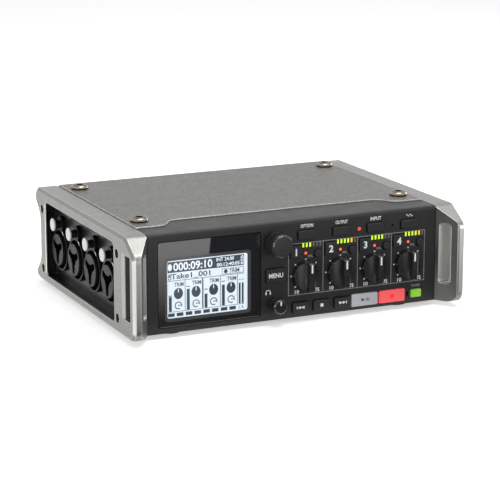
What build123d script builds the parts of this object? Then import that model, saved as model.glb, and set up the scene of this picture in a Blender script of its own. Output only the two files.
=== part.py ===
"""Portable four-channel field recorder, piece by piece, as it comes apart on a bench.

X runs to the right, Y to the back and Z up. The origin is on the ground under the
middle of the case. Every length is in millimetres.
"""
import os

from build123d import *

os.makedirs("parts", exist_ok=True)

# ------------------------------------------------------------ overall sizes
case_width = 178.2
case_depth = 140.0
foot_height = 2.5
frame_height = 48.9
frame_thickness = 11.1
panel_recess = 11.0          # front panel behind the front of the side frames
rear_recess = 7.0            # rear panel in front of the back of the side frames
plate_rise = 0.7             # top plate above the side frames

# ------------------------------------------------------------ walls and fits
plate_thickness = 1.2
panel_thickness = 2.4
rear_thickness = 2.0
chassis_thickness = 1.5
visor_thickness = 2.2
jack_panel_thickness = 1.5
board_thickness = 1.6
side_gap = 0.2               # panels to side frames
seam_gap = 0.15              # plate to visor
button_gap = 0.25            # each button in its aperture
knob_gap = 0.9               # knob skirt to panel
shaft_clearance = 0.05       # radial, spindles in their bushes
slip_gap = 0.3               # sliding drawer and loose fits
overcut = 1.0                # cutters past the face they cut
hex_depth_share = 0.6        # depth of a screw's hexagon, of its head

# ------------------------------------------------------------ derived places
base_z = foot_height
frame_top_z = base_z + frame_height
plate_top_z = frame_top_z + plate_rise
plate_bottom_z = plate_top_z - plate_thickness
frame_outer_x = case_width / 2
frame_inner_x = frame_outer_x - frame_thickness
frame_front_y = -case_depth / 2
frame_rear_y = case_depth / 2
panel_front_y = frame_front_y + panel_recess
panel_back_y = panel_front_y + panel_thickness
panel_half_width = frame_inner_x - side_gap
rear_face_y = frame_rear_y - rear_recess
rear_inner_y = rear_face_y - rear_thickness

# ------------------------------------------------------------ side frames
toe_radius = 6.0
front_slant_depth = 12.5     # slanted top corner, measured back from the front
front_slant_drop = 7.9
ear_depth = 7.0              # rear bumpers beyond the waist
ear_upper_drop = 6.9         # heights below the top of the frame
ear_upper_height = frame_height - ear_upper_drop
ear_lower_height = 5.2
waist_top_drop = 14.4
waist_top_height = frame_height - waist_top_drop
waist_bottom_height = 12.2
rim_bevel_face = 1.8
rim_bevel_side = 1.2
bay_edge = 0.3
bay_front_setback = 26.0
bay_front_y = frame_front_y + bay_front_setback
bay_rear_margin = 15.8
bay_rear_y = frame_rear_y - bay_rear_margin
bay_bottom_height = 4.3
bay_top_drop = 5.6
bay_top_height = frame_height - bay_top_drop
bay_corner = 2.5
bay_depth = 6.1              # jack panel behind the outer face
bay_lip = 0.9                # thickness of the frame's lip round the bay
bay_ledge = 2.2              # seat beyond the lip's edge, front and rear
bay_ledge_top = 1.6          # the same above and below
tray_rim = 0.9               # wall of the jack panel's tray
bar_width = 3.6              # front bar, across
bar_step = 0.7
slot_front_setback = 4.8     # setbacks from the front of the frame
slot_rear_setback = 9.4
slot_scoop_setback = 15.2
slot_rear_y = frame_front_y + slot_rear_setback
slot_front_y = frame_front_y + slot_front_setback
slot_scoop_y = frame_front_y + slot_scoop_setback
slot_scoop_depth = 2.8
slot_bottom_height = 9.0
slot_top_drop = 8.4
slot_top_height = frame_height - slot_top_drop
slot_corner = 1.8
slot_inner_shift = 1.2       # the slot leans forward towards the inner side
frame_screw_front_setback = 21.9
frame_screw_front_y = frame_front_y + frame_screw_front_setback
frame_screw_rear_margin = 11.0
frame_screw_rear_y = frame_rear_y - frame_screw_rear_margin
frame_screw_low = 7.2
frame_screw_drop = 10.1
frame_screw_high = frame_height - frame_screw_drop
frame_screw_radius = 1.5
frame_screw_head_radius = 2.1
frame_screw_head = 1.8
frame_screw_sink = 3.6
frame_hex_share = 0.6        # hexagon's radius, of the head's

# ------------------------------------------------------------ top plate and visor
plate_rear_overhang = 1.2
plate_rear_flange = 4.2
plate_edge = 0.25
plate_line_setback = 34.2    # front edge in the middle, from the front of the frames
plate_line_y = frame_front_y + plate_line_setback
plate_wing_setback = 25.0    # front edge beside the screws
plate_wing_y = frame_front_y + plate_wing_setback


visor_step = 0.5             # visor below the plate where they meet
visor_fall = 0.3             # further drop to the front edge
visor_ledge = 3.0
visor_rear_y = plate_line_y + visor_ledge
bezel_corner_radius = 1.6
top_screw_margin = 6.7
top_screw_x = panel_half_width - top_screw_margin
wave_margin = 5.1            # the wave ends beside the screws
wave_width = 13.0
wave_outer_x = top_screw_x - wave_margin
wave_inner_x = wave_outer_x - wave_width
top_screw_front_setback = 37.6
top_screw_front_y = frame_front_y + top_screw_front_setback
top_screw_rear_margin = 19.4
top_screw_rear_y = frame_rear_y - top_screw_rear_margin
top_screw_head_radius = 4.5
top_screw_head = 2.2
top_screw_radius = 2.0
top_screw_length = 7.0
top_screw_flat = 2.5         # radius of the flat on the crown
top_screw_shoulder = 3.9     # radius and height of a point on the crown
top_screw_shoulder_height = 1.7
top_screw_rim = 0.65         # height of the head's rim

# ------------------------------------------------------------ chassis and feet
floor_lift = 0.4             # tray floor above the underside of the frames
flange_width = 10.0
flange_front_setback = 28.5
flange_front_y = frame_front_y + flange_front_setback
floor_notch = 2.2
floor_notch_side = 3.0
visor_clearance = 0.4
foot_radius = 7.0
foot_margin_x = 15.8
foot_x = panel_half_width - foot_margin_x
foot_margin_y = 24.0
foot_y = frame_rear_y - foot_margin_y
foot_edge = 0.6
adapter_hole_radius = 1.6
adapter_spacing_x = 60.0
adapter_spacing_y = 40.0
adapter_centre_y = -22.0
standoff_height = 4.0
standoff_radius = 2.5
standoff_spacing_x = 100.0
standoff_spacing_y = 26.0

floor_bottom_z = base_z + floor_lift
floor_top_z = floor_bottom_z + chassis_thickness
wall_inner_x = frame_inner_x - chassis_thickness

# ------------------------------------------------------------ front panel layout
channel_count = 4
channel_pitch = 19.0
controls_width = 81.95       # channel boxes to the right end of the panel
channel_left_x = panel_half_width - controls_width
channel_knob_x = 9.5         # from the left line of its channel box
column_offset = 7.05         # select knob, menu key and phones knob left of the boxes
column_x = channel_left_x - column_offset
function_drop = 7.8          # rows, each below the one above it
track_drop = 8.2
solo_drop = 10.0
lamp_drop = 9.3
segment_drop = 5.2
trim_drop = 12.0
select_drop = 10.3
menu_drop = 16.1
function_row = frame_height - function_drop
track_row = function_row - track_drop
solo_row = function_row - solo_drop
lamp_row = function_row - lamp_drop
segment_row = function_row - segment_drop
trim_height = track_row - trim_drop
select_height = frame_height - select_drop
menu_row = select_height - menu_drop
trim_radius = 7.1
trim_proud = 7.4
trim_base = 1.6
trim_ridge = 2.8
trim_edge = 0.5
select_radius = 5.7
select_proud = 9.4
select_crown = 1.8           # solid tip of the select knob
select_ribs = 24
select_groove = 0.5
phones_height = 8.0
phones_radius = 3.7
phones_proud = 7.0
phones_ribs = 14
phones_groove = 0.45
knob_skirt = 1.0             # plain ring at the back of a ribbed knob
knob_bevel = 0.7
groove_shift = 0.35          # centre of a groove outside the rim, of its radius
spindle_radius = 3.0
phones_spindle_radius = 2.0
select_shaft_radius = 2.6
function_key_width = 9.0
function_key_height = 4.4
function_key_x = 9.5
track_key_width = 6.0
track_key_height = 6.3
track_key_x = 3.85
solo_radius = 2.0
solo_x = 16.05
lamp_radius = 0.85
lamp_x = 9.5
segment_count = 6
segment_pitch = 1.87
segment_width = 1.05
segment_height = 2.3
segment_x = 8.1
transport_width = 8.8
transport_height = 5.2
transport_pitch = 11.5
transport_offset = 6.55      # keys of the bottom row, from the left line of the boxes
play_offset = 42.05
record_offset = 57.45
power_offset = 71.25
status_offset = 38.75
slate_offset = 57.55
notch_offset = 66.45
transport_x = channel_left_x + transport_offset
transport_row = 4.9
play_width = 14.6
play_height = 6.4
play_x = channel_left_x + play_offset
record_x = channel_left_x + record_offset
power_width = 5.8
power_height = 4.0
power_x = channel_left_x + power_offset
menu_width = 10.0
menu_height = 6.7
status_x = channel_left_x + status_offset
status_radius = 1.0
slate_hole_x = channel_left_x + slate_offset
slate_hole_radius = 0.6
notch_x = channel_left_x + notch_offset
notch_width = 0.9
notch_height = 2.6
key_proud = 1.1
play_proud = 0.8
key_travel = 0.5
key_corner = 0.7
key_edge = 0.3
flange_lip = 0.7
flange_depth = 0.8
key_seat = 0.05              # lip behind the panel's back

# ------------------------------------------------------------ display
window_margin = 5.4          # to the left end of the panel
window_knob_gap = 7.7        # to the axis of the select knob
window_left_x = -panel_half_width + window_margin
window_right_x = column_x - window_knob_gap
window_low = 2.7
window_drop = 4.3
window_high = frame_height - window_drop
window_corner = 1.2
window_sink = 0.25
window_thickness = 1.2
window_edge = 0.2
view_left_margin = 4.0       # from the window to its view, all round
view_right_margin = 5.9
view_low_margin = 2.9
view_high_margin = 8.8
view_left_x = window_left_x + view_left_margin
view_right_x = window_right_x - view_right_margin
view_low = window_low + view_low_margin
view_high = window_high - view_high_margin
lcd_margin = 1.6

# ------------------------------------------------------------ boards behind the panel
board_gap = 5.6              # panel back to control board
board_side = 3.5
board_low = 4.0
board_drop = 3.4
board_high = frame_height - board_drop
boss_radius = 2.2
boss_inset = 3.2             # boss axis from the end of the control board
boss_right_height = 14.0
boss_left_offset = 8.4       # lower left boss, left of the knob column
switch_width = 5.6
switch_height = 4.2
switch_button = 1.2          # height of the plunger on its switch
switch_button_radius = 1.2
pot_width = 9.5
pot_height = 11.0
pot_gap = 0.4                # control body to the panel's back
pot_floor = 1.0
spindle_gap = 0.4            # spindle's end to the floor of its control
board_front_y = panel_back_y + board_gap
board_back_y = board_front_y + board_thickness
control_board_half = wall_inner_x - board_side

# ------------------------------------------------------------ input jacks (left)

jack_pitch = 23.8
jack_count = int((bay_rear_y - bay_front_y) / jack_pitch)
jack_shift = 2.7             # the row stands behind the middle of the bay
jack_centre_y = (bay_front_y + bay_rear_y) / 2 + jack_shift
jack_height = 20.1
jack_flange_radius = 11.1
jack_shell_radius = 10.6
jack_core_radius = 8.2
jack_groove_width = 1.8
jack_groove_depth = 4.0
jack_flange = 2.0
jack_core_proud = 1.4
jack_length = 24.0
plug_bore_radius = 3.2
plug_bore_depth = 20.0
pin_hole_radius = 1.8
pin_hole_circle = 5.6
pin_hole_depth = 10.0
tab_offset = 13.5            # release tab above the jack's axis
tab_radius = 3.3
tab_stem_radius = 2.0
tab_thickness = 1.0
tab_travel = 1.5
tab_inset = 0.05              # tab face inside the frame's outer face
tab_boss_radius = 4.0
tab_hole_depth = 6.0
tab_edge = 0.3
jack_hole_gap = 0.2

# ------------------------------------------------------------ output bay (right)
output_rear_margin = 12.7
output_rear_y = bay_rear_y - output_rear_margin
output_pitch = 25.5
output_height = 22.0
output_shell_radius = 11.0
output_flange_radius = 11.8
output_cavity_radius = 9.3
output_cavity_depth = 12.0
output_pin_radius = 1.2
output_pin_circle = 5.4
output_pin_length = 10.5
headphone_shift = 6.0        # axis behind the place of one more output
headphone_height = 30.5
headphone_nose_radius = 4.6
line_out_height = 13.0
line_out_nose_radius = 3.0
line_out_bore_radius = 1.75
small_jack_proud = 1.6
headphone_body = 11.2        # side of the square body
headphone_length = 22.0
line_out_body = 8.0
line_out_length = 15.4
line_out_bore_depth = 13.2
card_setback = 16.5
card_centre_y = bay_front_y + card_setback
card_width = 24.6
card_slot = 2.7
card_depth = 22.0
card_low = 13.0
card_pitch = 8.0
card_count = 2
card_wall = 1.4
usb_height = 33.0
usb_width = 7.6
usb_slot = 2.8
usb_depth = 6.0
usb_tongue = 0.6
usb_tongue_width = 5.6
cover_width = 29.0
cover_low_margin = 3.2
cover_high_margin = 4.8
cover_bottom = bay_bottom_height + cover_low_margin
cover_top = bay_top_height - cover_high_margin
cover_thickness = 1.8
cover_lift = 0.4
cover_pin_radius = 0.9
cover_barrel_radius = 1.8
cover_lug = 2.2
cover_lug_gap = 0.2
cover_end_gap = 3.1          # hinge barrel to the first jack's room
cover_end_y = card_centre_y + cover_width / 2 + 2 * cover_barrel_radius + cover_end_gap
output_room = bay_rear_y - cover_end_y - headphone_shift
output_count = int(output_room / output_pitch)
headphone_y = output_rear_y - output_count * output_pitch + headphone_shift
cover_grip_width = 2.0
cover_grip_height = 12.0
cover_grip = 1.0

# ------------------------------------------------------------ rear sockets
rear_right_margin = 27.8     # sockets, from the right end of the panel
inlet_margin = 25.8
barrel_margin = 8.8
bnc_x = panel_half_width - rear_right_margin
bnc_pitch = 17.0
bnc_drop = 15.9
bnc_height = frame_height - bnc_drop
bnc_radius = 4.8
bnc_proud = 5.8
bnc_length = 7.0             # behind the rear panel
bnc_flange_radius = 6.4
bnc_bore_radius = 3.9
bnc_flange = 0.8
bnc_floor = 1.0              # floor of the bore behind the panel's face
bnc_contact_radius = 1.1
bnc_lug_radius = 0.75
bnc_lug_setback = 2.2
bnc_lug_length = 1.5
inlet_x = panel_half_width - inlet_margin
inlet_height = 14.0
inlet_radius = 6.6
inlet_cavity_radius = 5.0
inlet_length = 6.0           # behind the rear panel
inlet_proud = 1.0
inlet_pin_radius = 0.6
inlet_pin_circle = 2.4
inlet_pins = 4
barrel_x = panel_half_width - barrel_margin
barrel_radius = 4.0
barrel_bore_radius = 2.75
barrel_pin_radius = 0.9
capsule_margin = 16.3
capsule_x = -panel_half_width + capsule_margin
capsule_height = 24.0
capsule_width = 24.0
capsule_tall = 13.0
capsule_depth = 6.3
capsule_wall = 1.5
capsule_corner = 1.5
capsule_inner_corner = 1.0
capsule_tongue_width = 12.0
capsule_tongue = 2.4
capsule_tongue_drop = 2.0
capsule_tongue_setback = 2.5
return_jack_height = 9.5
return_jack_length = 5.5     # behind the rear panel
return_jack_proud = 0.8
return_bore_floor = 1.3

# ------------------------------------------------------------ battery drawer (rear)
cell_radius = 7.1
cell_length = 49.0
cell_nub_radius = 2.6
cell_nub = 1.2
cell_gap = 0.7

cell_rows = 2
tray_wall = 1.2
tray_lift = 3.0              # tray above the chassis floor
tray_capsule_gap = 4.15      # tray to the capsule port
drawer_face_thickness = 2.2
drawer_face_margin = 3.0
drawer_wing = 12.0           # face beyond the tray, for the captive screw
drawer_socket_gap = 5.0
tray_left_x = capsule_x + capsule_width / 2 + tray_capsule_gap
tray_right_x = bnc_x - bnc_flange_radius - drawer_socket_gap - drawer_wing
tray_room = tray_right_x - tray_left_x - 2 * tray_wall
cell_pitch = 2 * cell_radius + cell_gap
cell_columns = int(tray_room / cell_pitch)
drawer_face_gap = 0.1
drawer_face_corner = 2.5
drawer_face_edge = 0.6
drawer_foot_margin = 1.5     # face below the tray
cell_shelf = 0.5
grip_depth = 1.2
grip_count = 5
grip_pitch = 3.2
grip_length = 26.0
grip_width = 1.6
captive_head_radius = 4.4
captive_head = 3.4
captive_radius = 1.5
captive_length = 6.0
captive_gap = 0.2
captive_edge = 0.5
captive_skirt = 0.7          # plain ring under the knurl
captive_grooves = 20
captive_groove = 0.4
captive_groove_shift = 0.15
captive_slot = 1.2

# ------------------------------------------------------------ main board
main_board_front_gap = 3.0
main_board_rear_gap = 2.0
main_board_side_gap = 4.0    # board to the ends of the input jacks
chip_size = 14.0
chip_thickness = 1.6
chip_pitch_x = 26.0
chip_pitch_y = 20.0
chip_columns = 4
chip_rows = 2
capacitor_radius = 3.2
capacitor_height = 9.0
capacitor_pitch = 12.0
capacitor_count = 7
capacitor_setback = 5.0


def front_plane(y):
    """Sketch plane that faces the front, with X to the right and Z up."""
    return Plane.XZ.offset(-y)


def rear_plane(y):
    """Sketch plane that faces the back; local x runs towards -X."""
    return Plane(origin=(0, y, 0), x_dir=(-1, 0, 0), z_dir=(0, 1, 0))


def right_plane(x):
    """Sketch plane that faces right, with Y as local x and Z as local y."""
    return Plane.YZ.offset(x)


def left_plane(x):
    """Sketch plane that faces left; local x runs towards -Y."""
    return Plane(origin=(x, 0, 0), x_dir=(0, -1, 0), z_dir=(-1, 0, 0))


def channel_x(channel, offset):
    """X of a control that lies offset from the left line of its channel box."""
    return channel_left_x + channel * channel_pitch + offset


def plate_outline(shift=0.0):
    """Plan of the top plate, with its waved front edge moved back by shift."""
    half = panel_half_width
    middle = plate_line_y + shift
    wing = plate_wing_y + shift
    rear = rear_face_y + plate_rear_overhang
    level = ((1, 0), (1, 0))
    with BuildLine() as outline:
        Line((-half, wing), (-wave_outer_x, wing))
        Spline((-wave_outer_x, wing), (-wave_inner_x, middle), tangents=level)
        Line((-wave_inner_x, middle), (wave_inner_x, middle))
        Spline((wave_inner_x, middle), (wave_outer_x, wing), tangents=level)
        Polyline((wave_outer_x, wing), (half, wing), (half, rear), (-half, rear), (-half, wing))
    make_face(outline.edges())


# ------------------------------------------------------------ push buttons: where they are
buttons = {
    "menu_button": (column_x, menu_row, menu_width, menu_height, key_proud),
    "play_button": (play_x, transport_row, play_width, play_height, play_proud),
    "record_button": (record_x, transport_row, play_width, play_height, play_proud),
    "power_button": (power_x, transport_row, power_width, power_height, play_proud),
}
for channel, name in enumerate(["option", "output", "input", "tone"]):
    x = channel_x(channel, function_key_x)
    buttons[f"{name}_button"] = (x, function_row, function_key_width, function_key_height, key_proud)
for place, name in enumerate(["rewind", "stop", "forward"]):
    x = transport_x + place * transport_pitch
    buttons[f"{name}_button"] = (x, transport_row, transport_width, transport_height, key_proud)
for channel in range(channel_count):
    x = channel_x(channel, track_key_x)
    name = f"track_key_{channel + 1}"
    buttons[name] = (x, track_row, track_key_width, track_key_height, key_proud)

solo_places = [(channel_x(i, solo_x), base_z + solo_row) for i in range(channel_count)]
trim_places = [(channel_x(i, channel_knob_x), base_z + trim_height) for i in range(channel_count)]
lamp_places = [(channel_x(i, lamp_x), base_z + lamp_row) for i in range(channel_count)]
segment_places = [
    (channel_x(i, segment_x + j * segment_pitch), base_z + segment_row)
    for i in range(channel_count)
    for j in range(segment_count)
]
select_place = (column_x, base_z + select_height)
phones_place = (column_x, base_z + phones_height)
status_place = (status_x, base_z + function_row)
boss_edge_x = control_board_half - boss_inset
boss_high_z = base_z + board_high - boss_radius
boss_places = [
    (-boss_edge_x, boss_high_z),
    (boss_edge_x, boss_high_z),
    (boss_edge_x, base_z + boss_right_height),
    (column_x - boss_left_offset, base_z + board_low + boss_radius),
]

# ------------------------------------------------------------ front panel with its visor
visor_front_z = plate_top_z - visor_step - visor_fall
visor_back_z = plate_top_z - visor_step

with BuildPart() as front_panel:
    with BuildSketch(Plane.YZ) as bezel_section:
        with BuildLine():
            Polyline(
                (panel_front_y, base_z),
                (panel_front_y, visor_front_z),
                (visor_rear_y, visor_back_z),
                (visor_rear_y, visor_back_z - visor_thickness),
                (panel_back_y, visor_front_z - visor_thickness),
                (panel_back_y, base_z),
                close=True,
            )
        make_face()
        brow = bezel_section.vertices().sort_by_distance((panel_front_y, visor_front_z))[0]
        fillet(brow, bezel_corner_radius)
    extrude(amount=panel_half_width, both=True)
    # The top plate lies on a ledge behind the waved seam.
    with BuildSketch(Plane.XY.offset(plate_bottom_z)):
        plate_outline(-seam_gap)
    extrude(amount=plate_thickness, mode=Mode.SUBTRACT)
    with BuildSketch(Plane.XY.offset(plate_bottom_z)):
        plate_outline(visor_ledge)
    extrude(amount=-visor_thickness, mode=Mode.SUBTRACT)
    # Seat and view of the display window.
    with BuildSketch(front_plane(panel_front_y)):
        with Locations(((window_left_x + window_right_x) / 2, base_z + (window_low + window_high) / 2)):
            RectangleRounded(
                window_right_x - window_left_x + 2 * side_gap,
                window_high - window_low + 2 * side_gap,
                window_corner,
            )
    extrude(amount=-(window_sink + window_thickness), mode=Mode.SUBTRACT)
    with BuildSketch(front_plane(panel_front_y)):
        with Locations(((view_left_x + view_right_x) / 2, base_z + (view_low + view_high) / 2)):
            RectangleRounded(view_right_x - view_left_x, view_high - view_low, window_corner)
    extrude(amount=-panel_thickness, mode=Mode.SUBTRACT)
    # Apertures of the buttons, spindles, lamps and the slate microphone.
    with BuildSketch(front_plane(panel_front_y)):
        for x, row, width, height, proud in buttons.values():
            with Locations((x, base_z + row)):
                RectangleRounded(width + 2 * button_gap, height + 2 * button_gap, key_corner + button_gap)
        with Locations(*solo_places):
            Circle(solo_radius + button_gap)
        with Locations(*trim_places):
            Circle(spindle_radius + slip_gap)
        with Locations(select_place):
            Circle(select_shaft_radius + slip_gap)
        with Locations(phones_place):
            Circle(phones_spindle_radius + slip_gap)
        with Locations(*segment_places):
            Rectangle(segment_width, segment_height)
        with Locations(*lamp_places):
            Circle(lamp_radius)
        with Locations(status_place):
            Circle(status_radius)
        with Locations((slate_hole_x, base_z + function_row)):
            Circle(slate_hole_radius)
        with Locations((notch_x, base_z + transport_row)):
            SlotOverall(notch_height, notch_width, rotation=90)
    extrude(amount=-panel_thickness, mode=Mode.SUBTRACT)
    # Bosses that carry the control board.
    with BuildSketch(front_plane(panel_back_y)):
        with Locations(*boss_places):
            Circle(boss_radius)
    extrude(amount=-board_gap)
front_panel.part.label = "front_panel"
export_step(front_panel.part, "parts/front_panel.step")

# ------------------------------------------------------------ top plate
top_screw_places = [
    (side * top_screw_x, y) for side in (-1, 1) for y in (top_screw_front_y, top_screw_rear_y)
]

with BuildPart() as top_cover:
    with BuildSketch(Plane.XY.offset(plate_bottom_z)):
        plate_outline()
    extrude(amount=plate_thickness)
    with BuildSketch(rear_plane(rear_face_y)):
        with Locations((0, plate_top_z - plate_rear_flange / 2)):
            Rectangle(2 * panel_half_width, plate_rear_flange)
    extrude(amount=plate_rear_overhang)
    crown = top_cover.faces().filter_by(Axis.Z).sort_by(Axis.Z)[-1]
    chamfer(crown.edges().filter_by(GeomType.LINE) + crown.edges().filter_by(GeomType.BSPLINE), plate_edge)
    with BuildSketch(Plane.XY.offset(plate_bottom_z)):
        with Locations(*top_screw_places):
            Circle(top_screw_radius + slip_gap)
    extrude(amount=plate_thickness, mode=Mode.SUBTRACT)
top_cover.part.label = "top_cover"
export_step(top_cover.part, "parts/top_cover.step")

# ------------------------------------------------------------ top screws
with BuildPart() as top_screws:
    for x, y in top_screw_places:
        with BuildSketch(Plane(origin=(x, y, plate_top_z), x_dir=(1, 0, 0), z_dir=(0, -1, 0))):
            with BuildLine():
                Line((0, top_screw_head), (top_screw_flat, top_screw_head))
                ThreePointArc(
                    (top_screw_flat, top_screw_head),
                    (top_screw_shoulder, top_screw_shoulder_height),
                    (top_screw_head_radius, top_screw_rim),
                )
                Polyline(
                    (top_screw_head_radius, top_screw_rim),
                    (top_screw_head_radius, 0),
                    (top_screw_radius, 0),
                    (top_screw_radius, -top_screw_length),
                    (0, -top_screw_length),
                    (0, top_screw_head),
                )
            make_face()
        revolve(axis=Axis((x, y, 0), (0, 0, 1)))
    with BuildSketch(Plane.XY.offset(plate_top_z + top_screw_head)):
        with Locations(*top_screw_places):
            RegularPolygon(top_screw_radius, 6)
    extrude(amount=-top_screw_head * hex_depth_share, mode=Mode.SUBTRACT)
top_screws.part.label = "top_screws"
export_step(top_screws.part, "parts/top_screws.step")

# ------------------------------------------------------------ chassis tray with return flanges
chassis_front_y = panel_back_y
chassis_rear_y = rear_inner_y
chassis_length = chassis_rear_y - chassis_front_y
screw_places = [
    (y, base_z + height)
    for y in (frame_screw_front_y, frame_screw_rear_y)
    for height in (frame_screw_low, frame_screw_high)
]
bay_inner_front_y = bay_front_y - bay_ledge
bay_inner_rear_y = bay_rear_y + bay_ledge
bay_inner_bottom = bay_bottom_height - bay_ledge_top
bay_inner_top = bay_top_height + bay_ledge_top
bay_inner_size = (bay_inner_rear_y - bay_inner_front_y, bay_inner_top - bay_inner_bottom)
tray_size = (bay_inner_size[0] - 2 * side_gap, bay_inner_size[1] - 2 * side_gap)
bay_inner_centre = (
    (bay_inner_front_y + bay_inner_rear_y) / 2,
    base_z + (bay_inner_top + bay_inner_bottom) / 2,
)

with BuildPart() as bottom_chassis:
    with BuildSketch(front_plane(chassis_front_y)):
        with BuildLine():
            Polyline(
                (-frame_inner_x, floor_bottom_z),
                (frame_inner_x, floor_bottom_z),
                (frame_inner_x, plate_bottom_z),
                (wall_inner_x, plate_bottom_z),
                (wall_inner_x, floor_top_z),
                (-wall_inner_x, floor_top_z),
                (-wall_inner_x, plate_bottom_z),
                (-frame_inner_x, plate_bottom_z),
                close=True,
            )
        make_face()
    extrude(amount=-chassis_length)
    # The visor's ends reach over the front of the side walls.
    with BuildSketch(right_plane(0)):
        with Locations(((chassis_front_y + flange_front_y) / 2, plate_bottom_z)):
            Rectangle(flange_front_y - chassis_front_y, 2 * (visor_thickness + visor_clearance))
    extrude(amount=frame_outer_x, both=True, mode=Mode.SUBTRACT)
    # Front edge of the floor stands back from the moving keys.
    with BuildSketch(Plane.XY.offset(floor_bottom_z)):
        with Locations((0, chassis_front_y)):
            Rectangle(2 * (wall_inner_x - floor_notch_side), 2 * floor_notch)
    extrude(amount=chassis_thickness, mode=Mode.SUBTRACT)
    # Return flanges carry the top plate and its screws.
    with BuildSketch(Plane.XY.offset(plate_bottom_z)):
        for side in (-1, 1):
            flange_x = side * (wall_inner_x - flange_width / 2)
            with Locations((flange_x, (flange_front_y + chassis_rear_y) / 2)):
                Rectangle(flange_width, chassis_rear_y - flange_front_y)
    extrude(amount=-chassis_thickness)
    with BuildSketch(Plane.XY.offset(plate_bottom_z)):
        with Locations(*top_screw_places):
            Circle(top_screw_radius)
    extrude(amount=-chassis_thickness, mode=Mode.SUBTRACT)
    # Side windows behind the two connector bays.
    with BuildSketch(right_plane(0)):
        with Locations(bay_inner_centre):
            Rectangle(*bay_inner_size)
    extrude(amount=frame_outer_x, both=True, mode=Mode.SUBTRACT)
    # Holes for the frame screws and, in the floor, for a mounting adapter.
    with BuildSketch(right_plane(0)):
        with Locations(*screw_places):
            Circle(frame_screw_radius)
    extrude(amount=frame_outer_x, both=True, mode=Mode.SUBTRACT)
    with BuildSketch(Plane.XY.offset(floor_bottom_z)):
        with Locations((0, adapter_centre_y)):
            with GridLocations(adapter_spacing_x, adapter_spacing_y, 2, 2):
                Circle(adapter_hole_radius)
    extrude(amount=chassis_thickness, mode=Mode.SUBTRACT)
    # Standoffs under the main board.
    with BuildSketch(Plane.XY.offset(floor_top_z)):
        with Locations((0, adapter_centre_y)):
            with GridLocations(standoff_spacing_x, standoff_spacing_y, 2, 2):
                Circle(standoff_radius)
    extrude(amount=standoff_height)
bottom_chassis.part.label = "bottom_chassis"
export_step(bottom_chassis.part, "parts/bottom_chassis.step")

# ------------------------------------------------------------ rubber feet
with BuildPart() as rubber_feet:
    with BuildSketch(Plane.XY.offset(floor_bottom_z)):
        with GridLocations(2 * foot_x, 2 * foot_y, 2, 2):
            Circle(foot_radius)
    extrude(amount=-floor_bottom_z)
    chamfer(rubber_feet.faces().sort_by(Axis.Z)[0:4].edges(), foot_edge)
rubber_feet.part.label = "rubber_feet"
export_step(rubber_feet.part, "parts/rubber_feet.step")

# ------------------------------------------------------------ side frames
bay_centre = ((bay_front_y + bay_rear_y) / 2, base_z + (bay_bottom_height + bay_top_height) / 2)
bay_size = (bay_rear_y - bay_front_y, bay_top_height - bay_bottom_height)
jack_face_x = frame_outer_x - bay_depth
lip_back_x = frame_outer_x - bay_lip
bar_inner_x = frame_outer_x - bar_width

# Room of the strap slot, from the scooped outer face to the slanted inner side.
with BuildPart() as slot_cutter:
    with BuildSketch(Plane.XY.offset(base_z + slot_bottom_height)):
        with BuildLine():
            Polyline(
                (frame_inner_x - overcut, slot_rear_y),
                (frame_outer_x - slot_scoop_depth, slot_rear_y),
                (frame_outer_x, slot_scoop_y),
                (frame_outer_x + overcut, slot_scoop_y),
                (frame_outer_x + overcut, slot_front_y),
                (bar_inner_x - 2 * overcut, slot_front_y - slot_inner_shift),
                (frame_inner_x - overcut, slot_front_y - slot_inner_shift),
                close=True,
            )
        make_face()
    extrude(amount=slot_top_height - slot_bottom_height)
    fillet(slot_cutter.faces().filter_by(Axis.Z).edges().filter_by(Axis.X), slot_corner)

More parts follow.
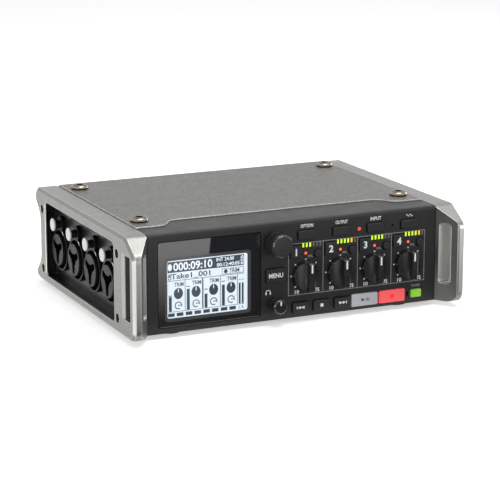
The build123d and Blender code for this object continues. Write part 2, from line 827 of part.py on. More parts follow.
with BuildPart() as side_frame_right:
    with BuildSketch(right_plane(frame_inner_x)) as frame_outline:
        with BuildLine():
            Polyline(
                (frame_front_y, base_z),
                (frame_front_y, frame_top_z - front_slant_drop),
                (frame_front_y + front_slant_depth, frame_top_z),
                (frame_rear_y, frame_top_z),
                (frame_rear_y, base_z + ear_upper_height),
                (frame_rear_y - ear_depth, base_z + waist_top_height),
                (frame_rear_y - ear_depth, base_z + waist_bottom_height),
                (frame_rear_y, base_z + ear_lower_height),
                (frame_rear_y, base_z),
                close=True,
            )
        make_face()
        rounding = [
            ((frame_front_y, base_z), toe_radius),
            ((frame_front_y, frame_top_z - front_slant_drop), 5.0),
            ((frame_front_y + front_slant_depth, frame_top_z), 6.0),
            ((frame_rear_y, frame_top_z), 4.5),
            ((frame_rear_y, base_z + ear_upper_height), 4.5),
            ((frame_rear_y - ear_depth, base_z + waist_top_height), 8.0),
            ((frame_rear_y - ear_depth, base_z + waist_bottom_height), 8.0),
            ((frame_rear_y, base_z + ear_lower_height), 3.6),
            ((frame_rear_y, base_z), 3.6),
        ]
        for place, radius in rounding:
            fillet(frame_outline.vertices().sort_by_distance(place)[0], radius)
    extrude(amount=frame_thickness)
    # Broad bevel all round the outer face, softened where it meets the rim.
    outer_face = side_frame_right.faces().sort_by(Axis.X)[-1]
    chamfer(outer_face.edges(), length=rim_bevel_face, length2=rim_bevel_side, reference=outer_face)
    # Connector bay, with a deeper seat behind for the jack panel.
    with BuildSketch(right_plane(frame_outer_x)):
        with Locations(bay_centre):
            RectangleRounded(*bay_size, bay_corner)
    extrude(amount=-frame_thickness, mode=Mode.SUBTRACT)
    bay_mouth = side_frame_right.faces().sort_by(Axis.X)[-1].inner_wires()[0]
    chamfer(bay_mouth.edges(), bay_edge)
    with BuildSketch(right_plane(frame_inner_x)):
        with Locations(bay_inner_centre):
            RectangleRounded(*bay_inner_size, bay_corner)
    extrude(amount=lip_back_x - frame_inner_x, mode=Mode.SUBTRACT)
    # The inner side slants from the panel out to the front bar, with a small step at the bar.
    with BuildSketch(Plane.XY.offset(base_z)):
        with BuildLine():
            Polyline(
                (frame_inner_x - overcut, panel_front_y),
                (frame_inner_x, panel_front_y),
                (bar_inner_x - bar_step, frame_front_y + bar_step),
                (bar_inner_x, frame_front_y + bar_step),
                (bar_inner_x, frame_front_y - overcut),
                (frame_inner_x - overcut, frame_front_y - overcut),
                close=True,
            )
        make_face()
    extrude(amount=frame_height, mode=Mode.SUBTRACT)
    add(slot_cutter.part, mode=Mode.SUBTRACT)
    # Sunk holes for the frame screws.
    with BuildSketch(right_plane(frame_outer_x)):
        with Locations(*screw_places):
            Circle(frame_screw_head_radius + slip_gap)
    extrude(amount=-(frame_screw_sink + frame_screw_head), mode=Mode.SUBTRACT)
    with BuildSketch(right_plane(frame_outer_x)):
        with Locations(*screw_places):
            Circle(frame_screw_radius + slip_gap / 2)
    extrude(amount=-frame_thickness, mode=Mode.SUBTRACT)
side_frame_right.part.label = "side_frame_right"
export_step(side_frame_right.part, "parts/side_frame_right.step")

with BuildPart() as side_frame_left:
    add(mirror(side_frame_right.part, about=Plane.YZ))
side_frame_left.part.label = "side_frame_left"
export_step(side_frame_left.part, "parts/side_frame_left.step")

# ------------------------------------------------------------ frame screws
with BuildPart() as frame_screws:
    with BuildSketch(right_plane(frame_outer_x - frame_screw_sink)):
        with Locations(*screw_places):
            Circle(frame_screw_head_radius)
    extrude(amount=-frame_screw_head)
    with BuildSketch(right_plane(frame_outer_x - frame_screw_sink - frame_screw_head)):
        with Locations(*screw_places):
            Circle(frame_screw_radius)
    extrude(amount=-(frame_thickness - frame_screw_sink - frame_screw_head + chassis_thickness))
    with BuildSketch(right_plane(frame_outer_x - frame_screw_sink)):
        with Locations(*screw_places):
            RegularPolygon(frame_screw_head_radius * frame_hex_share, 6)
    extrude(amount=-frame_screw_head * hex_depth_share, mode=Mode.SUBTRACT)
    mirror(about=Plane.YZ)
frame_screws.part.label = "frame_screws"
export_step(frame_screws.part, "parts/frame_screws.step")

# ------------------------------------------------------------ display window and screen
with BuildPart() as display_window:
    with BuildSketch(front_plane(panel_front_y + window_sink)):
        with Locations(((window_left_x + window_right_x) / 2, base_z + (window_low + window_high) / 2)):
            RectangleRounded(window_right_x - window_left_x, window_high - window_low, window_corner)
    extrude(amount=-window_thickness)
    chamfer(display_window.faces().sort_by(Axis.Y)[0].edges(), window_edge)
display_window.part.label = "display_window"
export_step(display_window.part, "parts/display_window.step")

with BuildPart() as lcd_module:
    with BuildSketch(front_plane(panel_back_y)):
        with Locations(((view_left_x + view_right_x) / 2, base_z + (view_low + view_high) / 2)):
            Rectangle(view_right_x - view_left_x + 2 * lcd_margin, view_high - view_low + 2 * lcd_margin)
    extrude(amount=-board_gap)
    with BuildSketch(front_plane(panel_back_y)):
        with Locations(((view_left_x + view_right_x) / 2, base_z + (view_low + view_high) / 2)):
            Rectangle(view_right_x - view_left_x - lcd_margin, view_high - view_low - lcd_margin)
    extrude(amount=-lcd_margin / 2, mode=Mode.SUBTRACT)
lcd_module.part.label = "lcd_module"
export_step(lcd_module.part, "parts/lcd_module.step")

# ------------------------------------------------------------ control board with its switches
switch_face_y = panel_back_y + flange_depth + key_travel + 2 * key_seat
switch_places = [(x, base_z + row) for x, row, width, height, proud in buttons.values()] + solo_places

with BuildPart() as control_board:
    with BuildSketch(front_plane(board_front_y)):
        with Locations((0, base_z + (board_low + board_high) / 2)):
            Rectangle(2 * control_board_half, board_high - board_low)
    extrude(amount=-board_thickness)
    with BuildSketch(front_plane(board_front_y)):
        with Locations(*switch_places):
            Rectangle(switch_width, switch_height)
    extrude(amount=board_front_y - switch_face_y - switch_button)
    with BuildSketch(front_plane(board_front_y)):
        with Locations(*switch_places):
            Circle(switch_button_radius)
    extrude(amount=board_front_y - switch_face_y)
control_board.part.label = "control_board"
export_step(control_board.part, "parts/control_board.step")

# ------------------------------------------------------------ light pipes of the lamps
with BuildPart() as indicator_lamps:
    with BuildSketch(front_plane(panel_front_y)):
        with Locations(*segment_places):
            Rectangle(segment_width, segment_height)
        with Locations(*lamp_places):
            Circle(lamp_radius)
        with Locations(status_place):
            Circle(status_radius)
    extrude(amount=-(panel_thickness + board_gap))
indicator_lamps.part.label = "indicator_lamps"
export_step(indicator_lamps.part, "parts/indicator_lamps.step")

# ------------------------------------------------------------ rotary controls behind the panel
pots = [(place, spindle_radius) for place in trim_places]
pots.append((select_place, select_shaft_radius))
pots.append((phones_place, phones_spindle_radius))

with BuildPart() as rotary_controls:
    for place, radius in pots:
        with BuildSketch(front_plane(board_front_y)):
            with Locations(place):
                Rectangle(pot_width, pot_height)
        extrude(amount=board_gap - pot_gap)
        with BuildSketch(front_plane(board_front_y - board_gap)):
            with Locations(place):
                Circle(radius + shaft_clearance)
        extrude(amount=-(board_gap - pot_floor), mode=Mode.SUBTRACT)
rotary_controls.part.label = "rotary_controls"
export_step(rotary_controls.part, "parts/rotary_controls.step")

spindle_end_y = board_front_y - pot_floor - spindle_gap


def build_button(x, row, width, height, proud):
    """Key cap with a retaining lip above and below it, behind the panel."""
    z = base_z + row
    with BuildPart() as button:
        with BuildSketch(front_plane(panel_front_y - proud)):
            with Locations((x, z)):
                RectangleRounded(width, height, key_corner)
        extrude(amount=-(proud + panel_thickness + key_seat))
        fillet(button.faces().sort_by(Axis.Y)[0].edges(), key_edge)
        with BuildSketch(front_plane(panel_back_y + key_seat)):
            with Locations((x, z)):
                Rectangle(width - 2 * key_corner, height + 2 * (button_gap + flange_lip))
        extrude(amount=-flange_depth)
    return button


for name, sizes in buttons.items():
    button = build_button(*sizes)
    button.part.label = name
    export_step(button.part, f"parts/{name}.step")

# ------------------------------------------------------------ round solo keys
for channel, (x, z) in enumerate(solo_places):
    with BuildPart() as solo_key:
        with BuildSketch(front_plane(panel_front_y - key_proud)):
            with Locations((x, z)):
                Circle(solo_radius)
        extrude(amount=-(key_proud + panel_thickness + key_seat))
        fillet(solo_key.faces().sort_by(Axis.Y)[0].edges(), key_edge)
        with BuildSketch(front_plane(panel_back_y + key_seat)):
            with Locations((x, z)):
                Circle(solo_radius + flange_lip)
        extrude(amount=-flange_depth)
    solo_key.part.label = f"solo_key_{channel + 1}"
    export_step(solo_key.part, f"parts/solo_key_{channel + 1}.step")

# ------------------------------------------------------------ trim knobs
for channel, (x, z) in enumerate(trim_places):
    scoop_radius = trim_proud - knob_gap - trim_base
    with BuildPart() as trim_knob:
        with BuildSketch(front_plane(panel_front_y - knob_gap)):
            with Locations((x, z)):
                Circle(trim_radius)
        extrude(amount=trim_proud - knob_gap)
        fillet(trim_knob.faces().sort_by(Axis.Y)[0].edges(), trim_edge)
        # Two finger scoops leave a ridge across the knob.
        with BuildSketch(Plane.XY.offset(z - trim_radius)):
            for side in (-1, 1):
                with Locations((x + side * (trim_ridge / 2 + scoop_radius), panel_front_y - trim_proud)):
                    Circle(scoop_radius)
        extrude(amount=2 * trim_radius, mode=Mode.SUBTRACT)
        # Spindle that turns in the control behind the panel.
        with BuildSketch(front_plane(panel_front_y - knob_gap)):
            with Locations((x, z)):
                Circle(spindle_radius)
        extrude(amount=-(spindle_end_y - panel_front_y + knob_gap))
    trim_knob.part.label = f"trim_knob_{channel + 1}"
    export_step(trim_knob.part, f"parts/trim_knob_{channel + 1}.step")


def build_ribbed_knob(place, radius, length, ribs, groove):
    """Ribbed knob with a bevelled tip; its back is knob_gap in front of the panel."""
    with BuildPart() as knob:
        with BuildSketch(front_plane(panel_front_y - knob_gap)):
            with Locations(place):
                Circle(radius)
        extrude(amount=length - knob_gap)
        chamfer(knob.faces().sort_by(Axis.Y)[0].edges(), knob_bevel)
        with BuildSketch(front_plane(panel_front_y - knob_gap - knob_skirt)):
            with Locations(place):
                with PolarLocations(radius + groove * groove_shift, ribs):
                    Circle(groove)
        extrude(amount=length, mode=Mode.SUBTRACT)
    return knob


# ------------------------------------------------------------ phones knob
phones_knob_body = build_ribbed_knob(phones_place, phones_radius, phones_proud, phones_ribs, phones_groove)
with BuildPart() as phones_knob:
    add(phones_knob_body.part)
    with BuildSketch(front_plane(panel_front_y - knob_gap)):
        with Locations(phones_place):
            Circle(phones_spindle_radius)
    extrude(amount=-(spindle_end_y - panel_front_y + knob_gap))
phones_knob.part.label = "phones_knob"
export_step(phones_knob.part, "parts/phones_knob.step")

# ------------------------------------------------------------ select knob on its push shaft
shaft_socket = select_proud - knob_gap - select_crown
select_knob_body = build_ribbed_knob(select_place, select_radius, select_proud, select_ribs, select_groove)
with BuildPart() as select_knob:
    add(select_knob_body.part)
    with BuildSketch(front_plane(panel_front_y - knob_gap)):
        with Locations(select_place):
            Circle(select_shaft_radius + shaft_clearance)
    extrude(amount=shaft_socket, mode=Mode.SUBTRACT)
select_knob.part.label = "select_knob"
export_step(select_knob.part, "parts/select_knob.step")

with BuildPart() as select_shaft:
    with BuildSketch(front_plane(panel_front_y - knob_gap - shaft_socket + slip_gap)):
        with Locations(select_place):
            Circle(select_shaft_radius)
    extrude(amount=-(spindle_end_y - key_travel - panel_front_y + knob_gap + shaft_socket - slip_gap))
select_shaft.part.label = "select_shaft"
export_step(select_shaft.part, "parts/select_shaft.step")

# ------------------------------------------------------------ input jacks and their panel
jack_ys = [jack_centre_y + (jack_count - 1 - 2 * i) / 2 * jack_pitch for i in range(jack_count)]
jack_z = base_z + jack_height
tab_z = jack_z + tab_offset
jack_front_x = -(jack_face_x + jack_flange)


def jack_shell_outline(y, z, gap=0.0):
    """Round shell with the housing of its release tab on top, local to a left-facing plane."""
    with Locations((-y, z)):
        Circle(jack_shell_radius + gap)
    with Locations((-y, z + tab_offset / 2)):
        Rectangle(2 * (tab_boss_radius + gap), tab_offset)
    with Locations((-y, z + tab_offset)):
        Circle(tab_boss_radius + gap)


with BuildPart() as left_jack_panel:
    with BuildSketch(left_plane(-jack_face_x)):
        with Locations((-bay_inner_centre[0], bay_inner_centre[1])):
            RectangleRounded(*tray_size, bay_corner)
        for y in jack_ys:
            with Locations((-y, jack_z)):
                Circle(jack_shell_radius + jack_hole_gap, mode=Mode.SUBTRACT)
            with Locations((-y, jack_z + tab_offset / 2)):
                Rectangle(2 * (tab_boss_radius + jack_hole_gap), tab_offset, mode=Mode.SUBTRACT)
            with Locations((-y, tab_z)):
                Circle(tab_boss_radius + jack_hole_gap, mode=Mode.SUBTRACT)
    extrude(amount=-jack_panel_thickness)
    with BuildSketch(left_plane(-jack_face_x)):
        with Locations((-bay_inner_centre[0], bay_inner_centre[1])):
            RectangleRounded(*tray_size, bay_corner)
        offset(amount=-tray_rim, mode=Mode.SUBTRACT)
    extrude(amount=lip_back_x - jack_face_x)
left_jack_panel.part.label = "left_jack_panel"
export_step(left_jack_panel.part, "parts/left_jack_panel.step")

for number, y in enumerate(jack_ys):
    with BuildPart() as input_jack:
        with BuildSketch(left_plane(-jack_face_x)):
            jack_shell_outline(y, jack_z)
        extrude(amount=-jack_length)
        with BuildSketch(left_plane(-jack_face_x)):
            with Locations((-y, jack_z)):
                Circle(jack_flange_radius)
            with Locations((-y, tab_z)):
                Circle(tab_boss_radius)
        extrude(amount=jack_flange)
        # Groove round the core, core standing proud, then its plug bore and pin holes.
        with BuildSketch(left_plane(jack_front_x)):
            with Locations((-y, jack_z)):
                Circle(jack_core_radius + jack_groove_width)
                Circle(jack_core_radius, mode=Mode.SUBTRACT)
        extrude(amount=-jack_groove_depth, mode=Mode.SUBTRACT)
        with BuildSketch(left_plane(jack_front_x)):
            with Locations((-y, jack_z)):
                Circle(jack_core_radius)
        extrude(amount=jack_core_proud)
        with BuildSketch(left_plane(jack_front_x - jack_core_proud)):
            with Locations((-y, jack_z)):
                with PolarLocations(pin_hole_circle, 3, start_angle=30):
                    Circle(pin_hole_radius)
        extrude(amount=-pin_hole_depth, mode=Mode.SUBTRACT)
        with BuildSketch(left_plane(jack_front_x - jack_core_proud)):
            with Locations((-y, jack_z)):
                Circle(plug_bore_radius)
        extrude(amount=-plug_bore_depth, mode=Mode.SUBTRACT)
        with BuildSketch(left_plane(jack_front_x)):
            with Locations((-y, tab_z)):
                Circle(tab_stem_radius + slip_gap)
        extrude(amount=-tab_hole_depth, mode=Mode.SUBTRACT)
    input_jack.part.label = f"input_jack_{number + 1}"
    export_step(input_jack.part, f"parts/input_jack_{number + 1}.step")

    with BuildPart() as release_tab:
        with BuildSketch(left_plane(-(frame_outer_x - tab_inset))):
            with Locations((-y, tab_z)):
                Circle(tab_radius)
        extrude(amount=-tab_thickness)
        fillet(release_tab.faces().sort_by(Axis.X)[0].edges(), tab_edge)
        with BuildSketch(left_plane(-(frame_outer_x - tab_inset - tab_thickness))):
            with Locations((-y, tab_z)):
                Circle(tab_stem_radius)
        stem_end_x = -jack_front_x - tab_hole_depth + tab_travel + slip_gap
        extrude(amount=-(frame_outer_x - tab_inset - tab_thickness - stem_end_x))
    release_tab.part.label = f"release_tab_{number + 1}"
    export_step(release_tab.part, f"parts/release_tab_{number + 1}.step")

# ------------------------------------------------------------ output bay panel
output_ys = [output_rear_y - i * output_pitch for i in range(output_count)]
output_z = base_z + output_height
card_zs = [base_z + card_low + i * card_pitch for i in range(card_count)]
card_block_bottom = card_zs[0] - card_slot / 2 - card_wall
card_block_top = base_z + usb_height + usb_slot / 2 + card_wall
card_block_width = card_width + 2 * card_wall
hinge_y = card_centre_y + cover_width / 2 + cover_barrel_radius
hinge_x = jack_face_x + cover_lift + cover_barrel_radius
cover_bottom_z = base_z + cover_bottom
cover_top_z = base_z + cover_top

with BuildPart() as right_jack_panel:
    with BuildSketch(right_plane(jack_face_x)):
        with Locations(bay_inner_centre):
            RectangleRounded(*tray_size, bay_corner)
        for y in output_ys:
            with Locations((y, output_z)):
                Circle(output_shell_radius + jack_hole_gap, mode=Mode.SUBTRACT)
        with Locations((headphone_y, base_z + headphone_height)):
            Circle(headphone_nose_radius + jack_hole_gap, mode=Mode.SUBTRACT)
        with Locations((headphone_y, base_z + line_out_height)):
            Circle(line_out_nose_radius + jack_hole_gap, mode=Mode.SUBTRACT)
        with Locations((card_centre_y, (card_block_bottom + card_block_top) / 2)):
            Rectangle(
                card_block_width + 2 * side_gap,
                card_block_top - card_block_bottom + 2 * side_gap,
                mode=Mode.SUBTRACT,
            )
    extrude(amount=-jack_panel_thickness)
    with BuildSketch(right_plane(jack_face_x)):
        with Locations(bay_inner_centre):
            RectangleRounded(*tray_size, bay_corner)
        offset(amount=-tray_rim, mode=Mode.SUBTRACT)
    extrude(amount=lip_back_x - jack_face_x)
    # Lugs and pin of the card cover's hinge.
    lug_heights = (cover_bottom_z - cover_lug - cover_lug_gap, cover_top_z + cover_lug_gap)
    for lug_z in lug_heights:
        with BuildSketch(Plane.XY.offset(lug_z)):
            with Locations((hinge_x, hinge_y)):
                Circle(cover_barrel_radius)
            with Locations(((jack_face_x + hinge_x) / 2, hinge_y)):
                Rectangle(hinge_x - jack_face_x, 2 * cover_barrel_radius)
        extrude(amount=cover_lug)
    with BuildSketch(Plane.XY.offset(lug_heights[0])):
        with Locations((hinge_x, hinge_y)):
            Circle(cover_pin_radius)
    extrude(amount=lug_heights[1] - lug_heights[0])
right_jack_panel.part.label = "right_jack_panel"
export_step(right_jack_panel.part, "parts/right_jack_panel.step")

with BuildPart() as card_cover:
    with BuildSketch(Plane.XY.offset(cover_bottom_z)):
        with Locations((hinge_x, hinge_y)):
            Circle(cover_barrel_radius)
        with Locations((hinge_x - cover_barrel_radius + cover_thickness / 2, hinge_y - cover_width / 2)):
            Rectangle(cover_thickness, cover_width)
    extrude(amount=cover_top - cover_bottom)
    with BuildSketch(Plane.XY.offset(cover_bottom_z)):
        with Locations((hinge_x, hinge_y)):
            Circle(cover_pin_radius + shaft_clearance)
    extrude(amount=cover_top - cover_bottom, mode=Mode.SUBTRACT)
    # Finger lip at the free end.
    with BuildSketch(right_plane(hinge_x - cover_barrel_radius + cover_thickness)):
        grip_y = hinge_y - cover_width + cover_grip_width / 2
        with Locations((grip_y, (cover_bottom_z + cover_top_z) / 2)):
            Rectangle(cover_grip_width, cover_grip_height)
    extrude(amount=cover_grip)
card_cover.part.label = "card_cover"
export_step(card_cover.part, "parts/card_cover.step")

with BuildPart() as card_sockets:
    with BuildSketch(right_plane(jack_face_x - slip_gap)):
        with Locations((card_centre_y, (card_block_bottom + card_block_top) / 2)):
            Rectangle(card_block_width, card_block_top - card_block_bottom)
    extrude(amount=-(card_depth + card_wall))
    with BuildSketch(right_plane(jack_face_x - slip_gap)):
        for z in card_zs:
            with Locations((card_centre_y, z)):
                Rectangle(card_width, card_slot)
    extrude(amount=-card_depth, mode=Mode.SUBTRACT)
    with BuildSketch(right_plane(jack_face_x - slip_gap)):
        with Locations((card_centre_y, base_z + usb_height)):
            SlotOverall(usb_width, usb_slot)
            Rectangle(usb_tongue_width, usb_tongue, mode=Mode.SUBTRACT)
    extrude(amount=-usb_depth, mode=Mode.SUBTRACT)
card_sockets.part.label = "card_sockets"
export_step(card_sockets.part, "parts/card_sockets.step")

# ------------------------------------------------------------ balanced output jacks
with BuildPart() as output_jacks:
    for y in output_ys:
        with BuildSketch(right_plane(jack_face_x)):
            with Locations((y, output_z)):
                Circle(output_shell_radius)
        extrude(amount=-jack_length)
        with BuildSketch(right_plane(jack_face_x)):
            with Locations((y, output_z)):
                Circle(output_flange_radius)
        extrude(amount=jack_flange)
        with BuildSketch(right_plane(jack_face_x + jack_flange)):
            with Locations((y, output_z)):
                Circle(output_cavity_radius)
        extrude(amount=-output_cavity_depth, mode=Mode.SUBTRACT)
        with BuildSketch(right_plane(jack_face_x + jack_flange - output_cavity_depth)):
            with Locations((y, output_z)):
                with PolarLocations(output_pin_circle, 3, start_angle=30):
                    Circle(output_pin_radius)
        extrude(amount=output_pin_length)
output_jacks.part.label = "output_jacks"
export_step(output_jacks.part, "parts/output_jacks.step")

# ------------------------------------------------------------ headphone jack and line output
with BuildPart() as phones_and_line_jacks:
    with BuildSketch(right_plane(jack_face_x + small_jack_proud)):
        with Locations((headphone_y, base_z + headphone_height)):
            Circle(headphone_nose_radius)
    extrude(amount=-(small_jack_proud + jack_panel_thickness))
    with BuildSketch(right_plane(jack_face_x - jack_panel_thickness)):
        with Locations((headphone_y, base_z + headphone_height)):
            Rectangle(headphone_body, headphone_body)
    extrude(amount=-headphone_length)
    with BuildSketch(right_plane(jack_face_x + small_jack_proud)):
        with Locations((headphone_y, base_z + headphone_height)):
            Circle(plug_bore_radius)
    extrude(amount=-plug_bore_depth, mode=Mode.SUBTRACT)
    with BuildSketch(right_plane(jack_face_x + small_jack_proud)):
        with Locations((headphone_y, base_z + line_out_height)):
            Circle(line_out_nose_radius)
    extrude(amount=-(small_jack_proud + jack_panel_thickness))
    with BuildSketch(right_plane(jack_face_x - jack_panel_thickness)):
        with Locations((headphone_y, base_z + line_out_height)):
            Rectangle(line_out_body, line_out_body)
    extrude(amount=-line_out_length)
    with BuildSketch(right_plane(jack_face_x + small_jack_proud)):
        with Locations((headphone_y, base_z + line_out_height)):
            Circle(line_out_bore_radius)
    extrude(amount=-line_out_bore_depth, mode=Mode.SUBTRACT)
phones_and_line_jacks.part.label = "phones_and_line_jacks"
export_step(phones_and_line_jacks.part, "parts/phones_and_line_jacks.step")

# ------------------------------------------------------------ battery drawer
tray_inner_width = cell_columns * cell_pitch + cell_gap
tray_inner_height = cell_rows * cell_pitch + cell_gap
tray_width = tray_inner_width + 2 * tray_wall
tray_centre_x = tray_left_x + tray_width / 2
tray_height = tray_inner_height + tray_wall
tray_inner_length = cell_length + cell_nub + 2 * slip_gap
tray_length = tray_inner_length + tray_wall
tray_bottom_z = floor_top_z + tray_lift
tray_top_z = tray_bottom_z + tray_height
drawer_face_back_y = rear_face_y + drawer_face_gap
drawer_face_front_y = drawer_face_back_y + drawer_face_thickness
tray_front_y = drawer_face_back_y - tray_length
face_left = tray_centre_x - tray_width / 2 - drawer_face_margin
face_right = tray_centre_x + tray_width / 2 + drawer_wing
face_bottom_z = tray_bottom_z - drawer_foot_margin
face_top_z = tray_top_z + drawer_face_margin
captive_place = (face_right - drawer_wing / 2, (face_bottom_z + face_top_z) / 2)
cell_xs = [tray_centre_x + (i - (cell_columns - 1) / 2) * cell_pitch for i in range(cell_columns)]
lower_cell_z = tray_bottom_z + tray_wall + cell_gap / 2 + cell_radius
cell_zs = [lower_cell_z + j * cell_pitch for j in range(cell_rows)]

with BuildPart() as battery_drawer:
    with BuildSketch(rear_plane(drawer_face_back_y)):
        with Locations((-tray_centre_x, (tray_bottom_z + tray_top_z) / 2)):
            Rectangle(tray_width, tray_height)
    extrude(amount=-tray_length)
    with BuildSketch(Plane.XY.offset(tray_bottom_z + tray_wall)):
        with Locations((tray_centre_x, drawer_face_back_y - tray_inner_length / 2)):
            Rectangle(tray_inner_width, tray_inner_length)
    extrude(amount=tray_inner_height, mode=Mode.SUBTRACT)
    # Thin shelf between the two layers of cells.
    with BuildSketch(Plane.XY.offset(cell_zs[0] + cell_radius + cell_gap / 2 - cell_shelf / 2)):
        with Locations((tray_centre_x, drawer_face_back_y - tray_inner_length / 2)):
            Rectangle(tray_inner_width, tray_inner_length)
    extrude(amount=cell_shelf)
    with BuildSketch(rear_plane(drawer_face_back_y)):
        with Locations((-(face_left + face_right) / 2, (face_bottom_z + face_top_z) / 2)):
            RectangleRounded(face_right - face_left, face_top_z - face_bottom_z, drawer_face_corner)
    extrude(amount=drawer_face_thickness)
    chamfer(battery_drawer.faces().sort_by(Axis.Y)[-1].edges(), drawer_face_edge)
    # Finger grip ribs.
    with BuildSketch(rear_plane(drawer_face_front_y)):
        with Locations((-tray_centre_x, (face_bottom_z + face_top_z) / 2)):
            with GridLocations(0, grip_pitch, 1, grip_count):
                SlotOverall(grip_length, grip_width)
    extrude(amount=grip_depth)
    with BuildSketch(rear_plane(drawer_face_front_y)):
        with Locations((-captive_place[0], captive_place[1])):
            Circle(captive_radius + shaft_clearance)
    extrude(amount=-drawer_face_thickness, mode=Mode.SUBTRACT)
battery_drawer.part.label = "battery_drawer"
export_step(battery_drawer.part, "parts/battery_drawer.step")

with BuildPart() as battery_cells:
    for x in cell_xs:
        for z in cell_zs:
            with BuildSketch(rear_plane(tray_front_y + tray_wall + slip_gap)):
                with Locations((-x, z)):
                    Circle(cell_radius)
            extrude(amount=cell_length)
            with BuildSketch(rear_plane(tray_front_y + tray_wall + slip_gap + cell_length)):
                with Locations((-x, z)):
                    Circle(cell_nub_radius)
            extrude(amount=cell_nub)
battery_cells.part.label = "battery_cells"
export_step(battery_cells.part, "parts/battery_cells.step")

with BuildPart() as drawer_screw:
    with BuildSketch(rear_plane(drawer_face_front_y + captive_gap)):
        with Locations((-captive_place[0], captive_place[1])):
            Circle(captive_head_radius)
    extrude(amount=captive_head)
    chamfer(drawer_screw.faces().sort_by(Axis.Y)[-1].edges(), captive_edge)
    with BuildSketch(rear_plane(drawer_face_front_y + captive_gap + captive_skirt)):
        with Locations((-captive_place[0], captive_place[1])):
            with PolarLocations(captive_head_radius + captive_groove_shift, captive_grooves):
                Circle(captive_groove)
    extrude(amount=captive_head, mode=Mode.SUBTRACT)
    with BuildSketch(rear_plane(drawer_face_front_y + captive_gap + captive_head)):
        with Locations((-captive_place[0], captive_place[1])):
            Rectangle(2 * captive_head_radius, captive_slot)
    extrude(amount=-captive_slot, mode=Mode.SUBTRACT)
    with BuildSketch(rear_plane(drawer_face_front_y + captive_gap)):
        with Locations((-captive_place[0], captive_place[1])):
            Circle(captive_radius)
    extrude(amount=-(captive_length + captive_gap))
drawer_screw.part.label = "drawer_screw"
export_step(drawer_screw.part, "parts/drawer_screw.step")

# ------------------------------------------------------------ rear panel
bnc_places = [(bnc_x + i * bnc_pitch, base_z + bnc_height) for i in range(2)]
inlet_place = (inlet_x, base_z + inlet_height)
barrel_place = (barrel_x, base_z + inlet_height)
return_place = (capsule_x, base_z + return_jack_height)

with BuildPart() as rear_panel:
    with BuildSketch(rear_plane(rear_inner_y)):
        with Locations((0, (floor_bottom_z + plate_bottom_z) / 2)):
            Rectangle(2 * panel_half_width, plate_bottom_z - floor_bottom_z)
        with Locations((-tray_centre_x, (tray_bottom_z + tray_top_z) / 2)):
            Rectangle(tray_width + 2 * slip_gap, tray_height + 2 * slip_gap, mode=Mode.SUBTRACT)
        with Locations((-captive_place[0], captive_place[1])):
            Circle(captive_radius + slip_gap, mode=Mode.SUBTRACT)
        for x, z in bnc_places:
            with Locations((-x, z)):
                Circle(bnc_radius + side_gap, mode=Mode.SUBTRACT)
        with Locations((-inlet_place[0], inlet_place[1])):
            Circle(inlet_radius + side_gap, mode=Mode.SUBTRACT)
        with Locations((-barrel_place[0], barrel_place[1])):
            Circle(barrel_radius + side_gap, mode=Mode.SUBTRACT)
        with Locations((-return_place[0], return_place[1])):
            Circle(line_out_nose_radius + side_gap, mode=Mode.SUBTRACT)
        with Locations((-capsule_x, base_z + capsule_height)):
            RectangleRounded(
                capsule_width + 2 * side_gap,
                capsule_tall + 2 * side_gap,
                capsule_corner,
                mode=Mode.SUBTRACT,
            )
    extrude(amount=rear_thickness)
rear_panel.part.label = "rear_panel"
export_step(rear_panel.part, "parts/rear_panel.step")

# ------------------------------------------------------------ rear sockets
with BuildPart() as rear_sockets:
    for x, z in bnc_places:
        with BuildSketch(rear_plane(rear_face_y)):
            with Locations((-x, z)):
                Circle(bnc_flange_radius)
        extrude(amount=bnc_flange)
        with BuildSketch(rear_plane(rear_inner_y - bnc_length)):
            with Locations((-x, z)):
                Circle(bnc_radius)
        extrude(amount=bnc_length + rear_thickness + bnc_proud)
        with BuildSketch(rear_plane(rear_face_y + bnc_proud)):
            with Locations((-x, z)):
                Circle(bnc_bore_radius)
                Circle(bnc_contact_radius, mode=Mode.SUBTRACT)
        extrude(amount=-(bnc_proud + bnc_floor), mode=Mode.SUBTRACT)
        with BuildSketch(rear_plane(rear_face_y + bnc_proud - bnc_lug_setback)):
            with Locations((-x, z)):
                with PolarLocations(bnc_radius, 2):
                    Circle(bnc_lug_radius)
        extrude(amount=bnc_lug_length)
    with BuildSketch(rear_plane(rear_inner_y - inlet_length)):
        with Locations((-inlet_place[0], inlet_place[1])):
            Circle(inlet_radius)
        with Locations((-barrel_place[0], barrel_place[1])):
            Circle(barrel_radius)
    extrude(amount=inlet_length + rear_thickness + inlet_proud)
    with BuildSketch(rear_plane(rear_face_y + inlet_proud)):
        with Locations((-inlet_place[0], inlet_place[1])):
            Circle(inlet_cavity_radius)
            with PolarLocations(inlet_pin_circle, inlet_pins, start_angle=45):
                Circle(inlet_pin_radius, mode=Mode.SUBTRACT)
        with Locations((-barrel_place[0], barrel_place[1])):
            Circle(barrel_bore_radius)
            Circle(barrel_pin_radius, mode=Mode.SUBTRACT)
    extrude(amount=-(inlet_length + rear_thickness), mode=Mode.SUBTRACT)
rear_sockets.part.label = "rear_sockets"
export_step(rear_sockets.part, "parts/rear_sockets.step")

